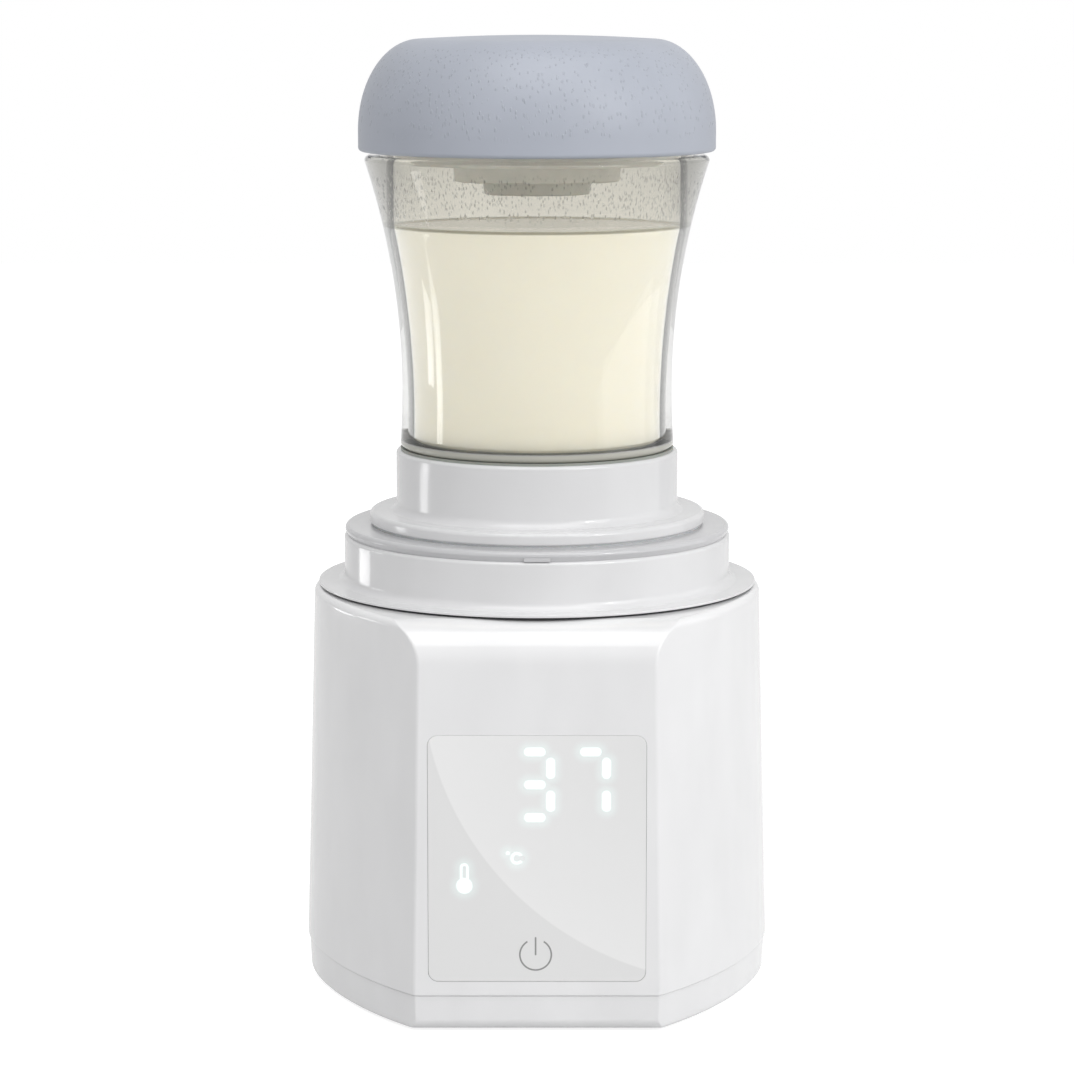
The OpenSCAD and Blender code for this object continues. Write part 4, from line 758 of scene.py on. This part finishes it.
class WARMER_OT_adapters(bpy.types.Operator):
    """Build the outer and inner adapter rings and their seals"""
    bl_idname = "warmer.adapters"
    bl_label = "Adapter rings"

    def execute(self, context):
        top = self.outer_ring(98.8)
        self.inner_ring(top)
        return {"FINISHED"}

    def outer_ring(self, low):
        bore, skirt, end, disc, top = 35.2, 38.7, 90.2, 42.5, 100.9
        groove_in, groove_out, groove_top = 40.3, 41.8, low + 0.4
        outer = turned([(bore, end, 0.3), (skirt, end, 0.3), (skirt, low), (groove_in, low),
                        (groove_in, groove_top), (groove_out, groove_top), (groove_out, low),
                        (disc - 0.5, low), (disc, low + 1.1, 0.15), (disc, top, 0.9), (bore, top, 0.25)])
        outer = add_thread(outer, skirt, 1, *COLLAR_THREAD)
        outer = piece_of("outer_adapter", add_thread(outer, bore, -1, *ADAPTER_THREAD))
        # Painted shade: the outer ring and its index tab are the same glossy white plastic as the neck, drawn
        # pale grey (CACACC) for the shade on the disc and its rim.
        finish = polished_abs("Polished pale grey polypropylene", "CACACC", 0.96, 0.1)
        settle(outer, "outer_adapter", finish, ["outer_adapter"])
        place = Matrix.Translation((0, 0, low + 0.5)) @ FACING_FRONT
        tab = piece_of("index_tab", slab(2.8, 0.4, 0.2, disc - 0.6, disc + 0.1, place, 0.08))
        settle(tab, "outer_adapter", finish)
        fit_seal("outer_seal", "outer_adapter_seal", "outer_adapter_rise",
                 silicone("Moulded grey silicone", "8F9193"), 40.6, 41.5, low, groove_top)
        return top

    def inner_ring(self, low):
        bore, skirt_in, skirt, end, flange_r = 29.5, 31.3, 34.0, 92.7, 37
        flange, flange_top, neck, neck_top, fillet = 101.3, 104.0, 31.1, 117.4, 2
        step = flange + 0.8
        profile = [(skirt_in, end, 0.3), (skirt, end, 0.3), (skirt, flange), (flange_r, flange, 0.45),
                   (flange_r, flange_top, 0.95)]
        profile += arc(neck + fillet, flange_top + fillet, fillet, 270, 180, 8)
        profile += [(neck, neck_top, 0.8), (bore, neck_top, 0.3), (bore, step), (skirt_in, step)]
        inner = add_thread(turned(profile), skirt, 1, *ADAPTER_THREAD)
        inner = piece_of("inner_adapter", add_thread(inner, bore, -1, *FOOT_THREAD))
        finish = polished_abs("Polished white polypropylene", "DFDFE0", 0.96, 0.16)
        settle(inner, "inner_adapter", finish, ["inner_adapter"])
        # Painted light: the inner seal is drawn near white (E4E4E4) to lighten the dark slot under the
        # flange.
        fit_seal("inner_seal", "inner_adapter_seal", "inner_adapter_rise",
                 silicone("Moulded silicone, inner, lightened as painted light", "E4E4E4"), 35.4, 36.4, low, flange)


class WARMER_OT_plate(bpy.types.Operator):
    """Build the heating plate"""
    bl_idname = "warmer.plate"
    bl_label = "Heating plate"

    def execute(self, context):
        low, top, r, t = 111.5, 116.2, 24.3, 0.8
        plate = piece_of("heating_plate", turned([
            (r - t, low), (r, low), (r, top, 1.0), (0, top), (0, top - t), (r - t, top - t, 0.4)]))
        finish = worked_metal("Spun stainless steel", "C9CACC", "B4B6B9", 0.26, True)
        settle(plate, "base", finish, ["heating_plate"])
        return {"FINISHED"}


# Heights of the container's shoulder, lip and rim, and the radius inside its mouth
VESSEL_Z, MOUTH_Z, RIM_Z = 117.9, 182.0, 193.0
MOUTH_IN = 31.35


def hollow(z, waist, waist_z, curve):
    """Radius at height z of a wall that flares from its waist on one long hollow curve."""
    return waist + curve - sqrt(curve ** 2 - (z - waist_z) ** 2)


def vessel_out(z):
    return hollow(z, 29.7, 131.0, 160)


def vessel_in(z):
    return min(MOUTH_IN, hollow(z, 27.1, 125.0, 207))


class WARMER_OT_vessel(bpy.types.Operator):
    """Build the milk container, its foot ring and the milk in it"""
    bl_idname = "warmer.vessel"
    bl_label = "Container and milk"

    def execute(self, context):
        floor, under, foot, foot_in, foot_r, mouth = 119.1, 116.6, 109.0, 25.5, 28.3, 34.2
        edge, corner, gap = 1.2, 1.4, 0.03
        low, lip, bottom = VESSEL_Z + edge, MOUTH_Z - edge, floor + corner
        outside = [low + (lip - low) * i / 48 for i in range(49)]
        inside = [bottom + (RIM_Z - 0.6 - bottom) * (1 - i / 48) for i in range(49)]
        profile = [(foot_in, foot, 0.3), (foot_r, foot, 0.5), (foot_r, VESSEL_Z)]
        profile += arc(vessel_out(low) - edge, low, edge, 270, 360, 8)[:-1]
        profile += [(vessel_out(z), z) for z in outside]
        profile += arc(vessel_out(lip) - edge, lip, edge, 0, 90, 6)
        profile += [(mouth, MOUTH_Z), (mouth, RIM_Z, 0.6), (MOUTH_IN, RIM_Z, 0.5)]
        profile += [(vessel_in(z), z) for z in inside]
        profile += arc(vessel_in(floor) - corner, bottom, corner, 360, 270, 8)
        profile += [(0, floor), (0, under), (foot_in, under)]
        vessel = add_thread(turned(profile), foot_r, 1, *FOOT_THREAD)
        vessel = piece_of("vessel", add_thread(vessel, mouth, 1, *LID_THREAD))
        milk_top = context.scene.warmer_vessel.milk_top / MM
        settle(vessel, "container", vessel_glass(milk_top), ["container"], 40)
        levels = [bottom + (milk_top - bottom) * i / 40 for i in range(41)]
        profile = [(0, floor + gap)] + arc(vessel_in(floor) - corner, bottom, corner - gap, 270, 360, 8)
        profile += [(vessel_in(z) - gap, z) for z in levels]
        profile += [(vessel_in(milk_top) - 0.9, milk_top - 0.3), (0, milk_top - 0.3)]
        milk = piece_of("milk", turned(profile))
        settle(milk, "container", milk_finish(context.scene.warmer_finishes.milk), sharp=50)
        fit_seal("foot_ring", "container_foot_ring", "container_rise",
                 silicone("Moulded smoke silicone", "9B9F98"), 28.6, 30.1, 117.4, VESSEL_Z)
        return {"FINISHED"}


class WARMER_OT_stopper(bpy.types.Operator):
    """Build the stopper and its gasket"""
    bl_idname = "warmer.stopper"
    bl_label = "Stopper"

    def execute(self, context):
        wall, rim, t, taper, step, tip = 31.0, 34.0, 1.3, 0.4, 18, 11.5
        foot, one, two, low, high = 180.4, 176.7, 173.9, 193.6, 194.8
        steps = [(tip, two, 0.5), (tip + taper, one), (step, one, 0.6), (step + taper, foot)]
        inside = [(point[0] - t, point[1] + t) for point in reversed(steps)]
        edge = [(wall, foot, 0.6), (wall, low), (rim, low, 0.2), (rim, high, 0.4), (wall - t, high, 0.4),
                (wall - t, foot + t, 0.5)]
        stopper = piece_of("stopper", turned([(0, two)] + steps + edge + inside + [(0, two + t)]))
        finish = silicone("Moulded grey silicone, stopper", context.scene.warmer_finishes.stopper)
        settle(stopper, "stopper", finish, ["stopper"])
        fit_seal("stopper_gasket", "stopper_gasket", "stopper",
                 silicone("Moulded pale silicone", "B9B9B6"), 31.4, rim, RIM_Z, low)
        return {"FINISHED"}


class WARMER_OT_lid(bpy.types.Operator):
    """Build the domed lid"""
    bl_idname = "warmer.lid"
    bl_label = "Lid"

    def execute(self, context):
        low, top, crown, r, flat, wall = 182.8, 207.0, 0.795, 39.0, 25.5, 1.9
        dome_z, bore, bore_top = low + 4.4, 35.4, 196.0
        dome = arc(flat, dome_z, r - flat, 0, 88, 36, top - dome_z)
        crown_r = (flat ** 2 + crown ** 2) / (2 * crown)
        start = 90 - degrees(asin(flat / crown_r)) + 0.2
        dome += arc(0, top + crown - crown_r, crown_r, start, 90, 10)
        inner = arc(flat, dome_z, r - flat - wall, 0, 90, 30, top - dome_z - wall)
        inner = [point for point in inner if point[1] > bore_top]
        profile = [(bore, low, 0.3), (r, low, 0.9), (r, dome_z)] + dome
        profile += [(0, top - wall)] + list(reversed(inner)) + [(inner[0][0], bore_top), (bore, bore_top)]
        press, press_in = 33.6, 32.0
        reach = dome_z + (top - dome_z - wall) * sqrt(1 - ((press_in - flat) / (r - flat - wall)) ** 2)
        ring = [(press_in, 194.8), (press, 194.8), (press, reach), (press_in, reach + 0.4)]
        lid = piece_of("lid", add_thread(turned(profile, ring), bore, -1, *LID_THREAD))
        settle(lid, "lid", lid_plastic(context.scene.warmer_finishes.lid), ["lid"])
        return {"FINISHED"}


class WARMER_OT_inner_parts(bpy.types.Operator):
    """Dress the CAD nodes that stay as they are: feet, fasteners, electronics, cells and heater parts"""
    bl_idname = "warmer.inner_parts"
    bl_label = "Feet and inner parts"

    def execute(self, context):
        steel = worked_metal("Zinc-plated steel", "BFC1C4", "A6A9AD", 0.3)
        nickel = worked_metal("Nickel strip", "C6C2B8", "ACA89E", 0.35)
        board = circuit_board()
        pipes = lit_acrylic(context.scene.warmer_display.glow)
        housing = satin_plastic("Spark-eroded grey nylon", "9C9EA0", 0.5)
        black = satin_plastic("Moulded black epoxy", "202123", 0.45, 0.3)
        finishes = {
            "rubber_feet": ("feet_rubber", silicone("Moulded charcoal rubber", "4A4B4D", 0.65)),
            "base_screws": ("steel_screw", steel), "display_screws": ("steel_screw", steel),
            "collar_screws": ("steel_screw", steel), "pack_bolt": ("steel_screw", steel),
            "display_digits": ("light_digits", pipes), "display_icons": ("light_icons", pipes),
            "light_guide": ("guide_white", satin_plastic("Reflective white polycarbonate", "F4F4F2", 0.5)),
            "display_board": ("board_green", board), "main_board": ("board_green", board),
            "display_leds": ("led_yellow", satin_plastic("Phosphor-filled silicone", "E8D27A", 0.3, 0.2)),
            "touch_electrode": ("electrode_copper",
                                worked_metal("Rolled copper foil", "C98A63", "B0724C", 0.28)),
            "board_parts": ("parts_black", black),
            "usb_socket": ("socket_steel", worked_metal("Drawn stainless steel", "B9BBBE", "9FA2A6", 0.25)),
            "display_cable": ("cable_grey", satin_plastic("Extruded grey PVC", "8B8D90", 0.4)),
            "heater_leads": ("wire_red", silicone("Extruded red silicone", "A6322E", 0.45)),
            "battery_leads": ("wire_black", silicone("Extruded black silicone", "26272A", 0.45)),
            "battery_tray": ("tray_grey", housing), "battery_cap": ("tray_grey", housing),
            "battery_cells": ("cell_wrap", shrink_sleeve()),
            "cell_tabs": ("tab_nickel", nickel),
            "heater_tower": ("tower_grey", satin_plastic("Moulded grey PBT", "B5B7B9", 0.45)),
            "plate_seal": ("seal_black", silicone("Moulded black silicone, plate", "1F2022")),
            "heater_element": ("element_foil",
                               worked_metal("Etched resistance foil", "B08A5E", "8E6B45", 0.35)),
            "insulation_pad": ("pad_tan", ceramic_fibre()),
            "temperature_sensor": ("sensor_black", satin_plastic("Dipped black epoxy", "1D1E20", 0.3)),
            "thermal_fuse": ("fuse_tin", worked_metal("Drawn tinned case", "B7B8B4", "9C9D99", 0.32)),
        }
        for node, (slot, finish) in finishes.items():
            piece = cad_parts[node]
            piece.data.materials.clear()
            piece.data.materials.append(finish)
        return {"FINISHED"}


def seen_share(tree, settings=None):
    """1 where the camera sees the studio, straight or through the glass, and 0.6 where a gloss mirrors it."""
    ray = tree.nodes.new("ShaderNodeLightPath")
    shine = add(tree, "Math.MULTIPLY", i0=ray.outputs["Is Glossy Ray"], i1=0.6)
    seen = add(tree, "Math.ADD", i0=ray.outputs["Is Camera Ray"], i1=shine)
    return add(tree, "Math.ADD", settings, i0=seen, i1=ray.outputs["Is Transmission Ray"])


class WARMER_OT_stage(bpy.types.Operator):
    """Set the floor, the studio light and the camera"""
    bl_idname = "warmer.stage"
    bl_label = "Floor, light and camera"

    def execute(self, context):
        self.floor()
        self.sky(context.scene)
        self.lamp("key", (0.95, -0.95, 0.75), (0, 0, 0.1), 0.9, 1.1, 5.2)
        self.lamp("hot spot", (0.9, -0.9, 0.72), (0, 0, 0.15), 0.12, 0.12, 1.3)
        self.lamp("top", (0, -0.4, 1.0), (0, 0, 0.1), 0.9, 0.8, 4.1)
        self.lamp("upper spot", (-0.25, -0.62, 0.98), (0, 0, 0.15), 0.1, 0.1, 0.15)
        self.lamp("fill", (-0.9, -0.8, 0.5), (0, 0, 0.1), 0.8, 0.8, 1.0)
        self.lamp("side", (0.6, -0.05, 0.22), (0, -0.05, 0.22), 0.7, 0.44, 0.6)
        self.lamp("collar glint", (-0.1602, 0.0649, 0.069), (-0.0373, -0.0208, 0.069), 0.038, 0.011, 0.004)
        self.lamp("neck glint", (-0.1691, 0.0206, 0.087), (-0.0244, -0.019, 0.087), 0.028, 0.016, 0.0048)
        self.lamp(
            "glass glint, low", (-0.317, 0.044, 0.083), (-0.023, -0.019, 0.13), 0.045, 0.02, 0.0002, 24)
        self.lamp(
            "glass glint, high", (-0.242, 0.015, 0.053), (-0.025, -0.024, 0.172), 0.08, 0.04, 0.0008, 36)
        self.camera(context.scene)
        context.scene.view_settings.view_transform = "Standard"
        return {"FINISHED"}

    def floor(self):
        bm = bmesh.new()
        bmesh.ops.create_grid(bm, x_segments=1, y_segments=1, size=2000)
        floor = piece_of("floor", bm)
        material, tree, shader = finish_of(
            "Seamless white paper", "CCCCCC", Roughness=0.9, Specular_IOR_Level=0.1)
        glow = add(tree, "Math.MULTIPLY", i0=seen_share(tree), i1=0.8)
        feed(shader, Emission_Color=rgba("FFFFFF"), Emission_Strength=glow)
        floor.data.materials.append(material)

    def sky(self, scene):
        world = bpy.data.worlds.new("Studio")
        world.use_nodes = True
        scene.world = world
        tree = world.node_tree
        seen = seen_share(tree, {"use_clamp": True})
        strength = add(tree, "MapRange", {"To Min": 0.455, "To Max": 1.0}, Value=seen)
        feed(tree.nodes["Background"], Color=rgba("FFFFFF"), Strength=strength)

    def lamp(self, name, place, aim, wide, high, watts, spread=180):
        data = bpy.data.lights.new(name, "AREA")
        data.shape, data.size, data.size_y, data.energy = "RECTANGLE", wide, high, watts
        data.spread = radians(spread)
        lamp = bpy.data.objects.new(name, data)
        lamp.visible_camera = False
        lamp.location = place
        lamp.rotation_euler = (Vector(aim) - Vector(place)).to_track_quat("-Z", "Y").to_euler()
        bpy.context.scene.collection.objects.link(lamp)

    def camera(self, scene):
        data = bpy.data.cameras.new("camera")
        data.sensor_width, data.lens = 36, 113.2
        eye = bpy.data.objects.new("camera", data)
        scene.collection.objects.link(eye)
        aim, distance, rise = Vector((0, 0, 97.4 * MM)), 750.6 * MM, radians(9.134)
        eye.location = aim + distance * Vector((0, -cos(rise), sin(rise)))
        eye.rotation_euler = (aim - eye.location).to_track_quat("-Z", "Y").to_euler()
        data.clip_start = 0.05
        scene.camera = eye


class WARMER_PT_panel(bpy.types.Panel):
    """Lists the warmer's sizes, finishes and build steps"""
    bl_idname = "WARMER_PT_panel"
    bl_label = "Bottle warmer"
    bl_space_type = "VIEW_3D"
    bl_region_type = "UI"
    bl_category = "Bottle warmer"

    def draw(self, context):
        for name, group in GROUPS.items():
            box = self.layout.box()
            for value in group.__annotations__:
                box.prop(getattr(context.scene, name), value)
        for operator in OPERATORS:
            self.layout.operator(operator.bl_idname)


GROUPS = {"warmer_body": BodySizes, "warmer_display": DisplaySizes, "warmer_vessel": VesselSizes,
          "warmer_finishes": Finishes}
OPERATORS = [WARMER_OT_shell, WARMER_OT_cover, WARMER_OT_display, WARMER_OT_collar, WARMER_OT_adapters,
             WARMER_OT_plate, WARMER_OT_vessel, WARMER_OT_stopper, WARMER_OT_lid, WARMER_OT_inner_parts,
             WARMER_OT_stage]
CLASSES = [*GROUPS.values(), *OPERATORS, WARMER_PT_panel]


def register():
    for cls in CLASSES:
        bpy.utils.register_class(cls)
    for name, group in GROUPS.items():
        setattr(bpy.types.Scene, name, PointerProperty(type=group))


def unregister():
    for name in GROUPS:
        delattr(bpy.types.Scene, name)
    for cls in reversed(CLASSES):
        bpy.utils.unregister_class(cls)


def main():
    register()
    for operator in OPERATORS:
        getattr(bpy.ops.warmer, operator.bl_idname.split(".")[1])()


if __name__ == "__main__":
    main()
